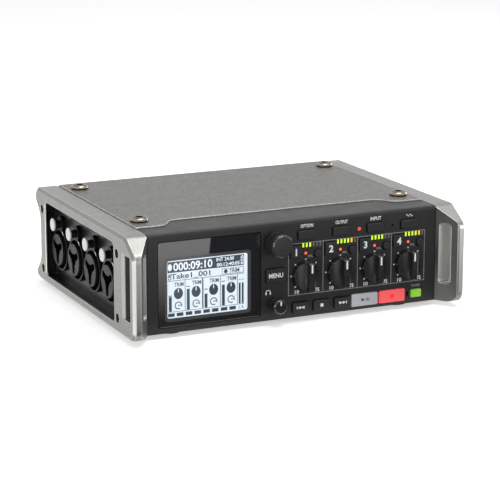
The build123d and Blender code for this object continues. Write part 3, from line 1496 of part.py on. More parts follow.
with BuildPart() as capsule_port:
    with BuildSketch(rear_plane(rear_face_y)):
        with Locations((-capsule_x, base_z + capsule_height)):
            RectangleRounded(capsule_width, capsule_tall, capsule_corner)
    extrude(amount=-(capsule_depth + capsule_wall))
    with BuildSketch(rear_plane(rear_face_y)):
        with Locations((-capsule_x, base_z + capsule_height)):
            RectangleRounded(
                capsule_width - 2 * capsule_wall, capsule_tall - 2 * capsule_wall, capsule_inner_corner
            )
    extrude(amount=-capsule_depth, mode=Mode.SUBTRACT)
    with BuildSketch(rear_plane(rear_face_y - capsule_depth)):
        with Locations((-capsule_x, base_z + capsule_height - capsule_tongue_drop)):
            Rectangle(capsule_tongue_width, capsule_tongue)
    extrude(amount=capsule_depth - capsule_tongue_setback)
    with BuildSketch(rear_plane(rear_inner_y - return_jack_length)):
        with Locations((-return_place[0], return_place[1])):
            Circle(line_out_nose_radius)
    extrude(amount=return_jack_length + rear_thickness + return_jack_proud)
    with BuildSketch(rear_plane(rear_face_y + return_jack_proud)):
        with Locations((-return_place[0], return_place[1])):
            Circle(line_out_bore_radius)
    return_bore_depth = return_jack_length + rear_thickness + return_jack_proud - return_bore_floor
    extrude(amount=-return_bore_depth, mode=Mode.SUBTRACT)
capsule_port.part.label = "capsule_port"
export_step(capsule_port.part, "parts/capsule_port.step")

# ------------------------------------------------------------ main board in the front of the tray
main_board_front_y = board_back_y + main_board_front_gap
main_board_rear_y = tray_front_y - main_board_rear_gap
main_board_half = jack_face_x - jack_length - main_board_side_gap
main_board_z = floor_top_z + standoff_height

with BuildPart() as main_board:
    with BuildSketch(Plane.XY.offset(main_board_z)):
        with Locations((0, (main_board_front_y + main_board_rear_y) / 2)):
            Rectangle(2 * main_board_half, main_board_rear_y - main_board_front_y)
    extrude(amount=board_thickness)
    with BuildSketch(Plane.XY.offset(main_board_z + board_thickness)):
        with Locations((0, adapter_centre_y)):
            with GridLocations(chip_pitch_x, chip_pitch_y, chip_columns, chip_rows):
                Rectangle(chip_size, chip_size)
    extrude(amount=chip_thickness)
    with BuildSketch(Plane.XY.offset(main_board_z + board_thickness)):
        with Locations((0, main_board_rear_y - capacitor_setback)):
            with GridLocations(capacitor_pitch, 0, capacitor_count, 1):
                Circle(capacitor_radius)
    extrude(amount=capacitor_height)
main_board.part.label = "main_board"
export_step(main_board.part, "parts/main_board.step")
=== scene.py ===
"""Looks of the portable field recorder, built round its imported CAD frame."""
import math

import bmesh
import bpy
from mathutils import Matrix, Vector


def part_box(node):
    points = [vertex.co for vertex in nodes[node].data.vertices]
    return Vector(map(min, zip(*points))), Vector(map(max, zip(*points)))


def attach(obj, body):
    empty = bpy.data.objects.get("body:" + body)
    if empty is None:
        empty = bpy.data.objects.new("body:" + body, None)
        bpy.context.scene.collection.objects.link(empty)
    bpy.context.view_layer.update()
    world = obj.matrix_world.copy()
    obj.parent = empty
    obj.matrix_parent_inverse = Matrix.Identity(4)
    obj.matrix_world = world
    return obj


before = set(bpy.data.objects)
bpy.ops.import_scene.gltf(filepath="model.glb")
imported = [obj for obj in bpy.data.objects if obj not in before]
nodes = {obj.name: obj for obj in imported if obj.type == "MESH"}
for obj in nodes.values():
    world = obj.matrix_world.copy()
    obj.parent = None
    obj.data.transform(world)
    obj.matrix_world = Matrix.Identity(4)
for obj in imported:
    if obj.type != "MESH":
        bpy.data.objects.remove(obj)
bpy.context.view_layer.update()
scene = bpy.context.scene
MM = 0.001


# ------------------------------------------------------------------ places taken from the CAD frame
def corners(name):
    """Lowest and highest corner of a node, in millimetres."""
    low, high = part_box(name)
    return [v / MM for v in low], [v / MM for v in high]


def middle(name):
    """x, y and z of a node's middle, in millimetres."""
    low, high = corners(name)
    return [(a + b) / 2 for a, b in zip(low, high)]


CHANNELS = range(1, 5)


def each(name):
    """The names of the four pieces of a kind, one for each channel."""
    return [f"{name}_{i}" for i in CHANNELS]


knob_x = [middle(name)[0] for name in each("trim_knob")]
knob_z = middle("trim_knob_1")[2]


# ------------------------------------------------------------------ materials
def srgb(r, g, b):
    """Linear colour of a colour written 0-255."""
    def part(v):
        v /= 255
        return v / 12.92 if v <= 0.04045 else ((v + 0.055) / 1.055) ** 2.4
    return (part(r), part(g), part(b), 1.0)


def scaled(colour, factor):
    """The same colour, lighter or darker."""
    return tuple(min(1.0, c * factor) for c in colour[:3]) + (1.0,)


WHITE = (1, 1, 1, 1)
BLACK = (0, 0, 0, 1)


class Look:
    """A node material: a Principled shader with helpers that add detail to it."""

    def __init__(self, name, colour, rough=0.5, metal=0.0, coat=0.0, coat_rough=0.1, specular=0.5):
        self.mat = bpy.data.materials.new(name)
        self.mat.use_nodes = True
        self.tree = self.mat.node_tree
        self.shader = self.tree.nodes["Principled BSDF"]
        self.base = colour
        self.colour = colour        # becomes the socket that gives the colour once detail is added
        self.rough_value = rough
        self.set("Base Color", colour)
        self.set("Roughness", rough)
        self.set("Metallic", metal)
        self.set("Coat Weight", coat)
        self.set("Coat Roughness", coat_rough)
        self.set("Specular IOR Level", specular)
        self.normal = None
        self.coords = self.node("ShaderNodeTexCoord").outputs["Object"]

    def set(self, socket, value):
        """A value that is the same all over the surface."""
        self.shader.inputs[socket].default_value = value

    def node(self, kind, **values):
        """A new shader node with these settings."""
        made = self.tree.nodes.new(kind)
        for key, value in values.items():
            setattr(made, key, value)
        return made

    def link(self, a, b):
        self.tree.links.new(a, b)

    def noise(self, scale, detail=3.0, stretch=None):
        """Noise in the recorder's frame, drawn out along the axes if a stretch is given."""
        made = self.node("ShaderNodeTexNoise")
        made.inputs["Scale"].default_value = scale
        made.inputs["Detail"].default_value = detail
        made.inputs["Roughness"].default_value = 0.55
        if stretch:
            drawn = self.node("ShaderNodeMapping")
            drawn.inputs["Scale"].default_value = stretch
            self.link(self.coords, drawn.inputs["Vector"])
            self.link(drawn.outputs["Vector"], made.inputs["Vector"])
        else:
            self.link(self.coords, made.inputs["Vector"])
        return made.outputs["Fac"]

    def along(self, axis):
        """The surface's place along X, Y or Z of the recorder's frame, in metres."""
        split = self.node("ShaderNodeSeparateXYZ")
        self.link(self.coords, split.inputs[0])
        return split.outputs[axis]

    def maths(self, operation, *values):
        """The result of a Math node on floats and sockets."""
        made = self.node("ShaderNodeMath", operation=operation)
        for socket, value in zip(made.inputs, values):
            if isinstance(value, float):
                socket.default_value = value
            else:
                self.link(value, socket)
        return made.outputs[0]

    def normal_dot(self):
        """A dot product whose first vector is the surface's true normal."""
        geometry = self.node("ShaderNodeNewGeometry")
        dot = self.node("ShaderNodeVectorMath", operation="DOT_PRODUCT")
        self.link(geometry.outputs["Normal"], dot.inputs[0])
        return dot

    def ramp(self, value, low, high, out_low=0.0, out_high=1.0):
        """Runs from one output to the other while the value runs from low to high."""
        made = self.node("ShaderNodeMapRange")
        made.inputs["From Min"].default_value = low
        made.inputs["From Max"].default_value = high
        made.inputs["To Min"].default_value = out_low
        made.inputs["To Max"].default_value = out_high
        self.link(value, made.inputs["Value"])
        return made.outputs["Result"]

    def mix(self, factor, a, b):
        """From one colour to another, where either is a colour or a socket."""
        made = self.node("ShaderNodeMix", data_type="RGBA")
        self.link(factor, made.inputs["Factor"])
        for socket, value in ((made.inputs[6], a), (made.inputs[7], b)):
            if isinstance(value, tuple):
                socket.default_value = value
            else:
                self.link(value, socket)
        return made.outputs[2]

    def tint(self, factor, colour):
        """Lays another colour over the present one, as far as the factor says."""
        self.colour = self.mix(factor, self.colour, colour)
        self.link(self.colour, self.shader.inputs["Base Color"])
        return self

    def mottle(self, scale, amount):
        """Slow variation of the colour, as paint and plastic have."""
        value = self.ramp(self.noise(scale), 0.3, 0.7)
        self.colour = scaled(self.base, 1 - amount)
        return self.tint(value, scaled(self.base, 1 + amount))

    def speckle(self, scale, colour, low=0.62, high=0.72):
        """Fine specks of another colour over the base."""
        return self.tint(self.ramp(self.noise(scale, 2.0), low, high), colour)

    def smudge(self, scale, amount):
        """Roughness that varies as handled surfaces do."""
        smooth = self.rough_value - amount
        dull = self.rough_value + amount
        value = self.ramp(self.noise(scale, 4.0), 0.3, 0.7, smooth, dull)
        self.link(value, self.shader.inputs["Roughness"])
        return self

    def bump(self, height, strength, depth_mm):
        """Fine relief over what the normal already has."""
        made = self.node("ShaderNodeBump")
        made.inputs["Strength"].default_value = strength
        made.inputs["Distance"].default_value = depth_mm * MM
        self.link(height, made.inputs["Height"])
        if self.normal is not None:
            self.link(self.normal, made.inputs["Normal"])
        self.normal = made.outputs["Normal"]
        self.link(self.normal, self.shader.inputs["Normal"])
        return self

    def soft_edges(self, radius_mm):
        """Rounds the look of machined and moulded edges."""
        made = self.node("ShaderNodeBevel", samples=6)
        made.inputs["Radius"].default_value = radius_mm * MM
        self.normal = made.outputs["Normal"]
        self.link(self.normal, self.shader.inputs["Normal"])
        return self

    def worn_edges(self, radius_mm, colour, amount=0.5):
        """Painted highlight along edges, where the bevelled normal leaves the true one."""
        bevel = self.node("ShaderNodeBevel", samples=6)
        bevel.inputs["Radius"].default_value = radius_mm * MM
        dot = self.normal_dot()
        self.link(bevel.outputs["Normal"], dot.inputs[1])
        return self.tint(self.ramp(dot.outputs["Value"], 1.0, 0.86, 0.0, amount), colour)

    def facing(self, direction, colour, amount):
        """Painted light: another colour where the surface faces this way, lighter as a bevel that
        catches a lamp, darker as a face in shade.
        """
        dot = self.normal_dot()
        dot.inputs[1].default_value = Vector(direction).normalized()
        return self.tint(self.ramp(dot.outputs["Value"], 0.9, 0.955, 0.0, amount), colour)

    def darken_deep(self, name, axis, depth_mm, dark):
        """Painted shade: darkens what lies this deep behind a node's outermost face along an axis, as
        holes look in shade.
        """
        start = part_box(name)[0]["XYZ".index(axis)]
        return self.tint(self.ramp(self.along(axis), start + 0.2 * MM, start + depth_mm * MM), dark)

    def darken_height(self, bright_mm, dark_mm, dark):
        """Painted shade: darkens from one height to another, as a dome that mirrors its surroundings."""
        return self.tint(self.ramp(self.along("Z"), bright_mm * MM, dark_mm * MM), dark)

    def glow(self, colour, strength):
        """Light of its own, for lit keys and lamps; on print and glints it is painted light, so print
        stays readable in shade.
        """
        self.set("Emission Color", colour)
        self.set("Emission Strength", strength)
        return self

    def wear(self, *names):
        """Puts the material on CAD nodes."""
        for name in names:
            node = nodes[name]
            node.data.materials.clear()
            node.data.materials.append(self.mat)
        return self


def painted(name, colour, rough, metal, grain, depth, **more):
    """Satin paint over metal, with the fine orange-peel that paint has."""
    look = Look(name, colour, rough, metal, **more).soft_edges(0.35)
    look.mottle(140, 0.03).smudge(200, 0.04)
    look.bump(look.noise(grain, 2.0), 0.5, depth)
    return look


def moulded(name, colour, rough, grain=2600, depth=0.03, edge=0.25, **more):
    """Moulded plastic with a fine spark-eroded texture."""
    look = Look(name, colour, rough, 0.0, **more).soft_edges(edge)
    look.mottle(60, 0.06).smudge(120, 0.04)
    look.bump(look.noise(grain, 2.0), 0.45, depth)
    return look


def shade_slot(look):
    """Darkens the room of the left frame's strap slot, behind its front bar."""
    low, high = corners("side_frame_left")
    borders = (
        ("X", low[0] + 0.8, low[0] + 1.1),
        ("X", low[0] + 5.0, low[0] + 4.8),
        ("Y", low[1] + 4.6, low[1] + 4.8),
        ("Y", low[1] + 13.7, low[1] + 13.3),
        ("Z", low[2] + 8.9, low[2] + 9.1),
        ("Z", high[2] - 8.3, high[2] - 8.5),
    )
    inside = 1.0
    for axis, outer, inner in borders:
        within = look.ramp(look.along(axis), outer * MM, inner * MM)
        inside = look.maths("MULTIPLY", within, inside)
    return look.tint(inside, srgb(38, 38, 36))


def frame_finish(name, *sides):
    """Satin silver paint with painted highlights along its edges. Each side is a direction and the
    painted highlight or painted shade it takes there.
    """
    look = painted("silver_paint_and_light_" + name, srgb(132, 133, 129),
                   rough=0.38, metal=0.85, grain=2600, depth=0.03)
    look.speckle(2600, srgb(164, 165, 160), low=0.45, high=0.8)
    # Painted highlight along the frames' edges.
    look.worn_edges(0.7, srgb(228, 229, 223), 0.8)
    # Painted highlights and shade on faces turned each way.
    for direction, tone in sides:
        look.facing(direction, tone, 0.9)
    return look


# Painted light on the frames: highlights on the ears' bevels and front, shade on the right ear's inner
# face and in its slot.
BEVEL_HIGHLIGHT = srgb(230, 231, 226)
INNER_SHADE = srgb(90, 91, 88)
SLOT_SHADE = srgb(112, 113, 107)
EAR_FRONT = (0, -1, 0)
EAR_CORNER = (-0.65, -0.76, 0)      # the left ear's bevel, and not the scoop beside it
EAR_INSIDE = (-0.83, -0.55, 0)      # the right ear's slanted inner face
SLOT_INSIDE = (-1, 0, 0)
left_paint_and_light = frame_finish("left", (EAR_CORNER, BEVEL_HIGHLIGHT))
shade_slot(left_paint_and_light).wear("side_frame_left")
right_paint_and_light = frame_finish("right", (EAR_FRONT, BEVEL_HIGHLIGHT), (EAR_INSIDE, INNER_SHADE),
                           (SLOT_INSIDE, SLOT_SHADE))
right_paint_and_light.wear("side_frame_right")

cover_paint_and_light = painted("top_paint_and_light", srgb(95, 95, 92), rough=0.44, metal=0.5, grain=1500, depth=0.08)
cover_paint_and_light.speckle(1500, srgb(140, 139, 134), low=0.45, high=0.72)
cover_paint_and_light.speckle(1100, srgb(70, 70, 68), low=0.52, high=0.74)
# Painted highlight along the cover's edges.
cover_paint_and_light.worn_edges(0.9, srgb(236, 234, 226), 0.95).wear("top_cover")

panel = moulded("panel_plastic", srgb(30, 30, 31), rough=0.44, grain=2200, depth=0.03, specular=0.34)
panel.wear("front_panel")

chassis = painted("black_powder_coat", srgb(34, 34, 35),
                  rough=0.5, metal=0.1, grain=1800, depth=0.05, specular=0.35)
chassis.wear("bottom_chassis", "rear_panel")

tray = painted("black_tray_paint", srgb(24, 24, 25),
               rough=0.3, metal=0.1, grain=2200, depth=0.02, specular=0.4)
tray.wear("left_jack_panel", "right_jack_panel")

foot = moulded("foot_rubber", srgb(30, 30, 30),
               rough=0.8, grain=1500, depth=0.05, edge=0.4, specular=0.3)
foot.wear("rubber_feet")

bright_screw = Look("nickel_screws", srgb(150, 139, 126), rough=0.2, metal=1.0).soft_edges(0.25)
bright_screw.smudge(400, 0.06)
bright_screw.bump(bright_screw.noise(900, 2.0, stretch=(1, 1, 8)), 0.2, 0.01)
seat_z = corners("top_cover")[1][2]
crown_z = corners("top_screws")[1][2]
# Painted shade round the screws' seats, and darker again towards their crowns.
bright_screw.darken_height(seat_z + 1.2, seat_z + 0.4, srgb(22, 19, 17))
bright_screw.darken_height(crown_z - 0.35, crown_z - 0.1, srgb(52, 46, 42))
bright_screw.wear("top_screws")
plain_screw = Look("steel_screw", srgb(160, 156, 150), rough=0.24, metal=1.0).soft_edges(0.25)
plain_screw.smudge(400, 0.06).wear("drawer_screw")

black_screw = Look("black_oxide", srgb(20, 20, 21), rough=0.34, metal=0.6).soft_edges(0.12)
black_screw.smudge(500, 0.08).wear("frame_screws")

lens = Look("display_lens", srgb(26, 27, 30), rough=0.015, coat=1.0, coat_rough=0.01, specular=0.8)
lens.mottle(30, 0.05).wear("display_window")

screen = moulded("screen_body", srgb(200, 210, 220), rough=0.3)
screen.wear("lcd_module")

board = moulded("circuit_board", srgb(28, 74, 48), rough=0.45, grain=900, depth=0.03)
board.speckle(1200, srgb(160, 130, 60), low=0.66, high=0.7).wear("control_board", "main_board")

control = Look("component_metal", srgb(150, 150, 150), rough=0.35, metal=0.9).soft_edges(0.2)
control.smudge(300, 0.08).wear("rotary_controls", "card_sockets")

lamp_off = Look("lamp_off", srgb(92, 94, 92), rough=0.3, coat=0.3)
lamp_off.mottle(800, 0.15).wear("indicator_lamps")

jack = moulded("jack_plastic", srgb(36, 38, 42),
               rough=0.44, grain=2600, depth=0.02, edge=0.3, specular=0.2)
# Painted shade deep inside the jacks' holes.
jack.darken_deep("input_jack_1", "X", 1.5, srgb(8, 8, 9))
jack.wear(*each("input_jack"))

socket = moulded("socket_plastic", srgb(34, 34, 36),
                 rough=0.42, grain=2600, depth=0.02, edge=0.3, specular=0.4)
socket.wear("output_jacks", "phones_and_line_jacks", "capsule_port")

nickel = Look("nickel_sockets", srgb(190, 188, 182), rough=0.22, metal=1.0).soft_edges(0.2)
nickel.smudge(300, 0.05).wear("rear_sockets")

key = moulded("key_rubber", srgb(27, 27, 29), rough=0.5, grain=2400, depth=0.03, edge=0.35, specular=0.4)
key.wear("option_button", "output_button", "input_button", "tone_button", "menu_button")
key.wear("rewind_button", "stop_button", "forward_button")
key.wear(*each("track_key"), *each("solo_key"))

play = moulded("key_play_lit", srgb(170, 173, 178), rough=0.4, grain=2400, depth=0.015, edge=0.3)
play.glow(srgb(165, 168, 172), 0.12).wear("play_button")
record = moulded("key_record_lit", srgb(240, 88, 92), rough=0.4, grain=2400, depth=0.015, edge=0.3)
record.glow(srgb(250, 80, 84), 0.2).wear("record_button")
power = moulded("key_power_lit", srgb(140, 200, 60), rough=0.4, grain=2400, depth=0.015, edge=0.3)
power.glow(srgb(150, 220, 60), 0.15).wear("power_button")

knob = moulded("knob_soft_black", srgb(27, 27, 28),
               rough=0.28, grain=2400, depth=0.012, edge=0.35, coat=0.6, coat_rough=0.16)
knob.wear(*each("trim_knob"), "phones_knob", "select_knob")

shaft = Look("turned_steel", srgb(170, 170, 168), rough=0.28, metal=1.0).soft_edges(0.15)
shaft.bump(shaft.noise(3000, 1.0, stretch=(0.1, 6, 0.1)), 0.3, 0.01).wear("select_shaft")

tab = moulded("tab_silver", srgb(226, 225, 219), rough=0.3, grain=2600, depth=0.01, edge=0.3, coat=0.3)
# Painted shade on what lies deep behind the tabs' faces.
tab.mottle(700, 0.08).darken_deep("release_tab_1", "X", 1.3, srgb(10, 10, 11))
tab.wear(*each("release_tab"))

cover = moulded("cover_rubber", srgb(32, 32, 33), rough=0.6, grain=1800, depth=0.05, edge=0.4)
cover.wear("card_cover")
drawer = moulded("drawer_plastic", srgb(32, 32, 34), rough=0.5, grain=2000, depth=0.05, edge=0.4)
drawer.wear("battery_drawer")
cells = moulded("cell_sleeve", srgb(72, 98, 140), rough=0.3, grain=400, depth=0.01, edge=0.3)
cells.wear("battery_cells")

# The white print glows a little: painted light that keeps it bright in shade.
white_print = Look("white_print", srgb(208, 216, 220), rough=0.5)
white_print.mottle(900, 0.05).glow(srgb(226, 228, 227), 0.12)
grey_print = Look("grey_print", srgb(128, 129, 130), rough=0.55)
grey_print.mottle(900, 0.06)
dark_print = Look("dark_print", srgb(24, 25, 28), rough=0.5)
dark_print.mottle(900, 0.08)


# ------------------------------------------------------------------ flat prints
def on_circle(x, z, radius, degrees, tall=None):
    """A point on a circle, or on an ellipse whose half height is given."""
    a = math.radians(degrees)
    return (x + radius * math.cos(a), z + (radius if tall is None else tall) * math.sin(a))


class Print:
    """Thin shapes in one mesh, in millimetres, on a plane that faces the front or the left side."""

    def __init__(self, name, depth, look, lift=0.02, side="front", origin=(0, 0)):
        self.name = name
        self.look = look
        self.side = side
        self.origin = origin
        self.depth = depth - lift
        self.mesh = bmesh.new()

    def spot(self, across, up):
        """The point this far across (x on the front, y on the left side) and up from the origin."""
        across += self.origin[0]
        up += self.origin[1]
        flat = (across, self.depth, up) if self.side == "front" else (self.depth, across, up)
        return Vector(flat) * MM

    def face(self, points):
        """A flat shape through these points."""
        self.mesh.faces.new([self.mesh.verts.new(self.spot(a, b)) for a, b in points])

    def bar(self, x0, z0, x1, z1):
        """A filled rectangle between two corners."""
        self.face([(x0, z0), (x1, z0), (x1, z1), (x0, z1)])

    def rounded(self, x0, z0, x1, z1, r, steps=6):
        """A filled rectangle with rounded corners."""
        centres = ((x1 - r, z0 + r), (x1 - r, z1 - r), (x0 + r, z1 - r), (x0 + r, z0 + r))
        points = []
        for (cx, cz), start in zip(centres, (-90, 0, 90, 180)):
            points += [on_circle(cx, cz, r, start + 90 * i / steps) for i in range(steps + 1)]
        self.face(points)

    def disc(self, x, z, radius, tall=None, steps=24):
        """A filled circle, or an ellipse whose half height is given."""
        self.face([on_circle(x, z, radius, 360 * i / steps, tall) for i in range(steps)])

    def ring(self, x, z, outer, inner, start=0, sweep=360, steps=32):
        """A ring, or the arc of it that starts and sweeps by these degrees."""
        angles = [start + sweep * i / steps for i in range(steps + 1)]
        for a, b in zip(angles, angles[1:]):
            self.face([on_circle(x, z, outer, a), on_circle(x, z, outer, b),
                       on_circle(x, z, inner, b), on_circle(x, z, inner, a)])

    def outline(self, x0, z0, x1, z1, width):
        """The border of a rectangle, as wide as said."""
        self.bar(x0, z0, x1, z0 + width)
        self.bar(x0, z1 - width, x1, z1)
        self.bar(x0, z0 + width, x0 + width, z1 - width)
        self.bar(x1 - width, z0 + width, x1, z1 - width)

    def text(self, words, x, z, height, width=None, bold=0.0):
        """Words of this height, centred on x and z, stretched to the width if one is given."""
        curve = bpy.data.curves.new("lettering", "FONT")
        curve.body = words
        curve.size = 1.0
        curve.offset = bold
        curve.resolution_u = 3
        holder = bpy.data.objects.new("lettering", curve)
        scene.collection.objects.link(holder)
        bpy.context.view_layer.update()
        shaped = holder.evaluated_get(bpy.context.evaluated_depsgraph_get())
        made = bpy.data.meshes.new_from_object(shaped)
        xs = [v.co.x for v in made.vertices]
        ys = [v.co.y for v in made.vertices]
        scale_z = height / (max(ys) - min(ys))
        scale_x = scale_z if width is None else width / (max(xs) - min(xs))
        middle_x = (max(xs) + min(xs)) / 2
        middle_y = (max(ys) + min(ys)) / 2
        for v in made.vertices:
            v.co = self.spot(x + (v.co.x - middle_x) * scale_x, z + (v.co.y - middle_y) * scale_z)
        self.mesh.from_mesh(made)
        bpy.data.objects.remove(holder)
        bpy.data.curves.remove(curve)
        bpy.data.meshes.remove(made)

    def done(self, body, slot):
        """Makes the shapes an object that rides a body. The slot is not used."""
        made = bpy.data.meshes.new(self.name)
        bmesh.ops.recalc_face_normals(self.mesh, faces=self.mesh.faces)
        for f in self.mesh.faces:
            if (f.normal.y if self.side == "front" else f.normal.x) > 0:
                f.normal_flip()
        self.mesh.to_mesh(made)
        self.mesh.free()
        piece = bpy.data.objects.new(self.name, made)
        scene.collection.objects.link(piece)
        made.materials.append(self.look.mat)
        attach(piece, body)


PANEL = corners("front_panel")[0][1]        # depth of the faces that carry prints
KEY = corners("menu_button")[0][1]
LIT_KEY = corners("play_button")[0][1]

# ------------------------------------------------------------------ prints on the panel
# A channel's field and scale, in millimetres from the middle of its knob.
FIELD_LEFT, FIELD_RIGHT, FIELD_LOW, FIELD_HIGH = -9.5, 9.5, -9.8, 16.3
LINE = 0.35
SCALE_RADIUS = 7.9
SCALE_DOT = 0.4
SCALE_ENDS = (("10", -4.7, 2.3), ("75", 6.4, 2.2))      # number, place across and width
SCALE_END_UP = -8.15

lines = Print("panel_lines", PANEL, grey_print)
low, high = knob_z + FIELD_LOW, knob_z + FIELD_HIGH
lines.outline(knob_x[0] + FIELD_LEFT, low, knob_x[-1] + FIELD_RIGHT, high, LINE)
for x in knob_x[1:]:
    lines.bar(x + FIELD_LEFT - 0.18, low + LINE, x + FIELD_LEFT + 0.18, high - LINE)
for x in knob_x:
    lines.text("PFL", x + 2.55, knob_z + 9.2, 1.25, 2.7, bold=0.03)
power_top = corners("power_button")[1][2]
lines.text("POWER", middle("power_button")[0], power_top + 1.0, 1.35, 5.2, bold=0.02)
lines.done("case", "panel_moulding")

marks = Print("panel_marks", PANEL, white_print)
for x in knob_x:
    for turn in range(-135, 136, 45):
        marks.disc(*on_circle(x, knob_z, SCALE_RADIUS, 90 - turn), SCALE_DOT, steps=14)
    for number, across, wide in SCALE_ENDS:
        marks.text(number, x + across, knob_z + SCALE_END_UP, 1.9, wide, bold=0.02)
for word, wide in (("OPTION", 6.8), ("OUTPUT", 6.8), ("INPUT", 6.0)):
    name = word.lower() + "_button"
    marks.text(word, middle(name)[0] + 0.5, corners(name)[1][2] + 1.25, 1.75, wide, bold=0.02)


def wave(sheet, x, z, wide, tall, stroke, steps=14):
    """Two turns of a sine wave, centred on x and z, as the tone key's sign."""
    spots = []
    for i in range(steps + 1):
        t = i / steps
        spots.append((x + wide * (t - 0.5), z + tall / 2 * math.sin(t * 4 * math.pi)))
    for (xa, za), (xb, zb) in zip(spots, spots[1:]):
        sheet.face([(xa, za - stroke / 2), (xb, zb - stroke / 2),
                    (xb, zb + stroke / 2), (xa, za + stroke / 2)])


def headphones(sheet, x, z):
    """A headband with two ear cups."""
    sheet.ring(x, z + 0.2, 1.35, 1.0, 0, 180, 14)
    sheet.rounded(x - 1.5, z - 0.9, x - 0.75, z + 0.3, 0.25)
    sheet.rounded(x + 0.75, z - 0.9, x + 1.5, z + 0.3, 0.25)


wave(marks, middle("tone_button")[0] + 0.4, corners("tone_button")[1][2] + 1.1, 3.8, 1.0, 0.4)
headphones(marks, middle("phones_knob")[0] - 3.7, corners("phones_knob")[1][2] + 2.2)
marks.done("case", "panel_moulding")


# ------------------------------------------------------------------ prints on the keys
def triangle(sheet, x, z, wide, tall, way):
    """An arrow head whose base stands at x, pointing right (1) or left (-1)."""
    sheet.face([(x, z - tall / 2), (x + way * wide, z), (x, z + tall / 2)][::way])


def slash(sheet, x, z, stroke, lean, tall):
    """A leaning stroke that starts at x and stands either side of z."""
    sheet.face([(x, z - tall / 2), (x + stroke, z - tall / 2),
                (x + lean + stroke, z + tall / 2), (x + lean, z + tall / 2)])


for i, name in zip(CHANNELS, each("track_key")):
    x, _, z = middle(name)
    label = Print(f"track_number_{i}", KEY, white_print)
    label.text(str(i), x, z, 3.6, bold=0.03)
    label.done(name, "key_black")

x, _, z = middle("menu_button")
menu = Print("menu_word", KEY, white_print)
menu.text("MENU", x, z, 2.3, 7.6, bold=0.025)
menu.done("menu_button", "key_black")

ARROW_WIDE = 1.95
SIGN_TALL = 1.5
STROKE = 0.4
for name, way in (("rewind_button", -1), ("forward_button", 1)):
    x, _, z = middle(name)
    sign = Print(name.replace("button", "sign"), KEY, white_print)
    for start in (-2.0, -0.05):
        triangle(sign, x + way * start, z, ARROW_WIDE, SIGN_TALL, way)
    end = x + way * 2.1
    sign.bar(end - STROKE / 2, z - SIGN_TALL / 2, end + STROKE / 2, z + SIGN_TALL / 2)
    sign.done(name, "key_black")

SQUARE = 1.6
x, _, z = middle("stop_button")
stop = Print("stop_sign", KEY, white_print)
stop.bar(x - SQUARE / 2, z - SQUARE / 2, x + SQUARE / 2, z + SQUARE / 2)
stop.done("stop_button", "key_black")

x, _, z = middle("play_button")
play_sign = Print("play_sign", LIT_KEY, dark_print)
triangle(play_sign, x - 1.9, z, 2.0, 1.8, 1)
slash(play_sign, x + 0.3, z, 0.3, 0.5, SQUARE)
for across in (1.55, 2.35):
    play_sign.bar(x + across - STROKE / 2, z - SQUARE / 2, x + across + STROKE / 2, z + SQUARE / 2)
play_sign.done("play_button", "key_play")

x, _, z = middle("record_button")
red_print = Look("red_print", srgb(226, 16, 34), rough=0.4).mottle(900, 0.05)
red_print.glow(srgb(240, 10, 30), 0.5)
record_sign = Print("record_sign", LIT_KEY, red_print)
record_sign.disc(x, z, 1.15)
record_sign.done("record_button", "key_record")


# ------------------------------------------------------------------ lit lamps
def lamp_print(name, look_name, colour, lift=0.02):
    """A print for lamps that are on, with a material of their colour."""
    look = Look(look_name, colour, 0.35).mottle(900, 0.05)
    return Print(name, PANEL, look.glow(colour, 0.7), lift)


green = lamp_print("lamps_green", "lamps_green", srgb(196, 232, 30))
amber = lamp_print("lamps_amber", "lamps_amber", srgb(246, 172, 30))
red = lamp_print("lamps_red", "lamps_red", srgb(250, 56, 36))
core = lamp_print("lamp_cores", "lamp_core", srgb(255, 150, 70), 0.04)

# A channel's level meter and lamp, in millimetres from the middle of its knob.
METER_START = -1.4          # middle of the first bar
METER_STEP = 1.87
METER_BAR = 0.95
METER_LOW, METER_HIGH = 13.9, 16.1
LAMP_UP = 10.9
GREEN_BARS = (3, 4, 4, 4)       # how many bars are lit in each channel
AMBER_BARS = (0, 1, 0, 1)
for x, greens, ambers in zip(knob_x, GREEN_BARS, AMBER_BARS):
    for j in range(greens + ambers):
        left = x + METER_START + METER_STEP * j - METER_BAR / 2
        sheet = green if j < greens else amber
        sheet.bar(left, knob_z + METER_LOW, left + METER_BAR, knob_z + METER_HIGH)
    red.disc(x, knob_z + LAMP_UP, 0.75)
    core.disc(x, knob_z + LAMP_UP + 0.05, 0.34)
between_keys = (middle("output_button")[0] + middle("input_button")[0]) / 2
red.disc(between_keys + 0.8, middle("input_button")[2], 0.8)
for sheet in (green, amber, red, core):
    sheet.done("case", "lamp")

# ------------------------------------------------------------------ knob pointers
for i, name in zip(CHANNELS, each("trim_knob")):
    x, _, z = middle(name)
    pointer = Print(f"trim_pointer_{i}", corners(name)[0][1], white_print)
    pointer.rounded(x - 0.42, z + 2.4, x + 0.42, z + 6.5, 0.2)
    pointer.done(name, "knob_black")
x, _, z = middle("phones_knob")
phones_pointer = Print("phones_pointer", corners("phones_knob")[0][1], white_print)
phones_pointer.bar(x - 0.35, z + 0.8, x + 0.35, z + 2.9)
phones_pointer.done("phones_knob", "knob_black")

# ------------------------------------------------------------------ input jacks
# A black print over each jack's pin holes and bore is painted shade where the holes lie.
painted_hole_shade = Look("jack_painted_hole_shade", srgb(7, 7, 8), rough=1.0, specular=0.0).mottle(900, 0.1)
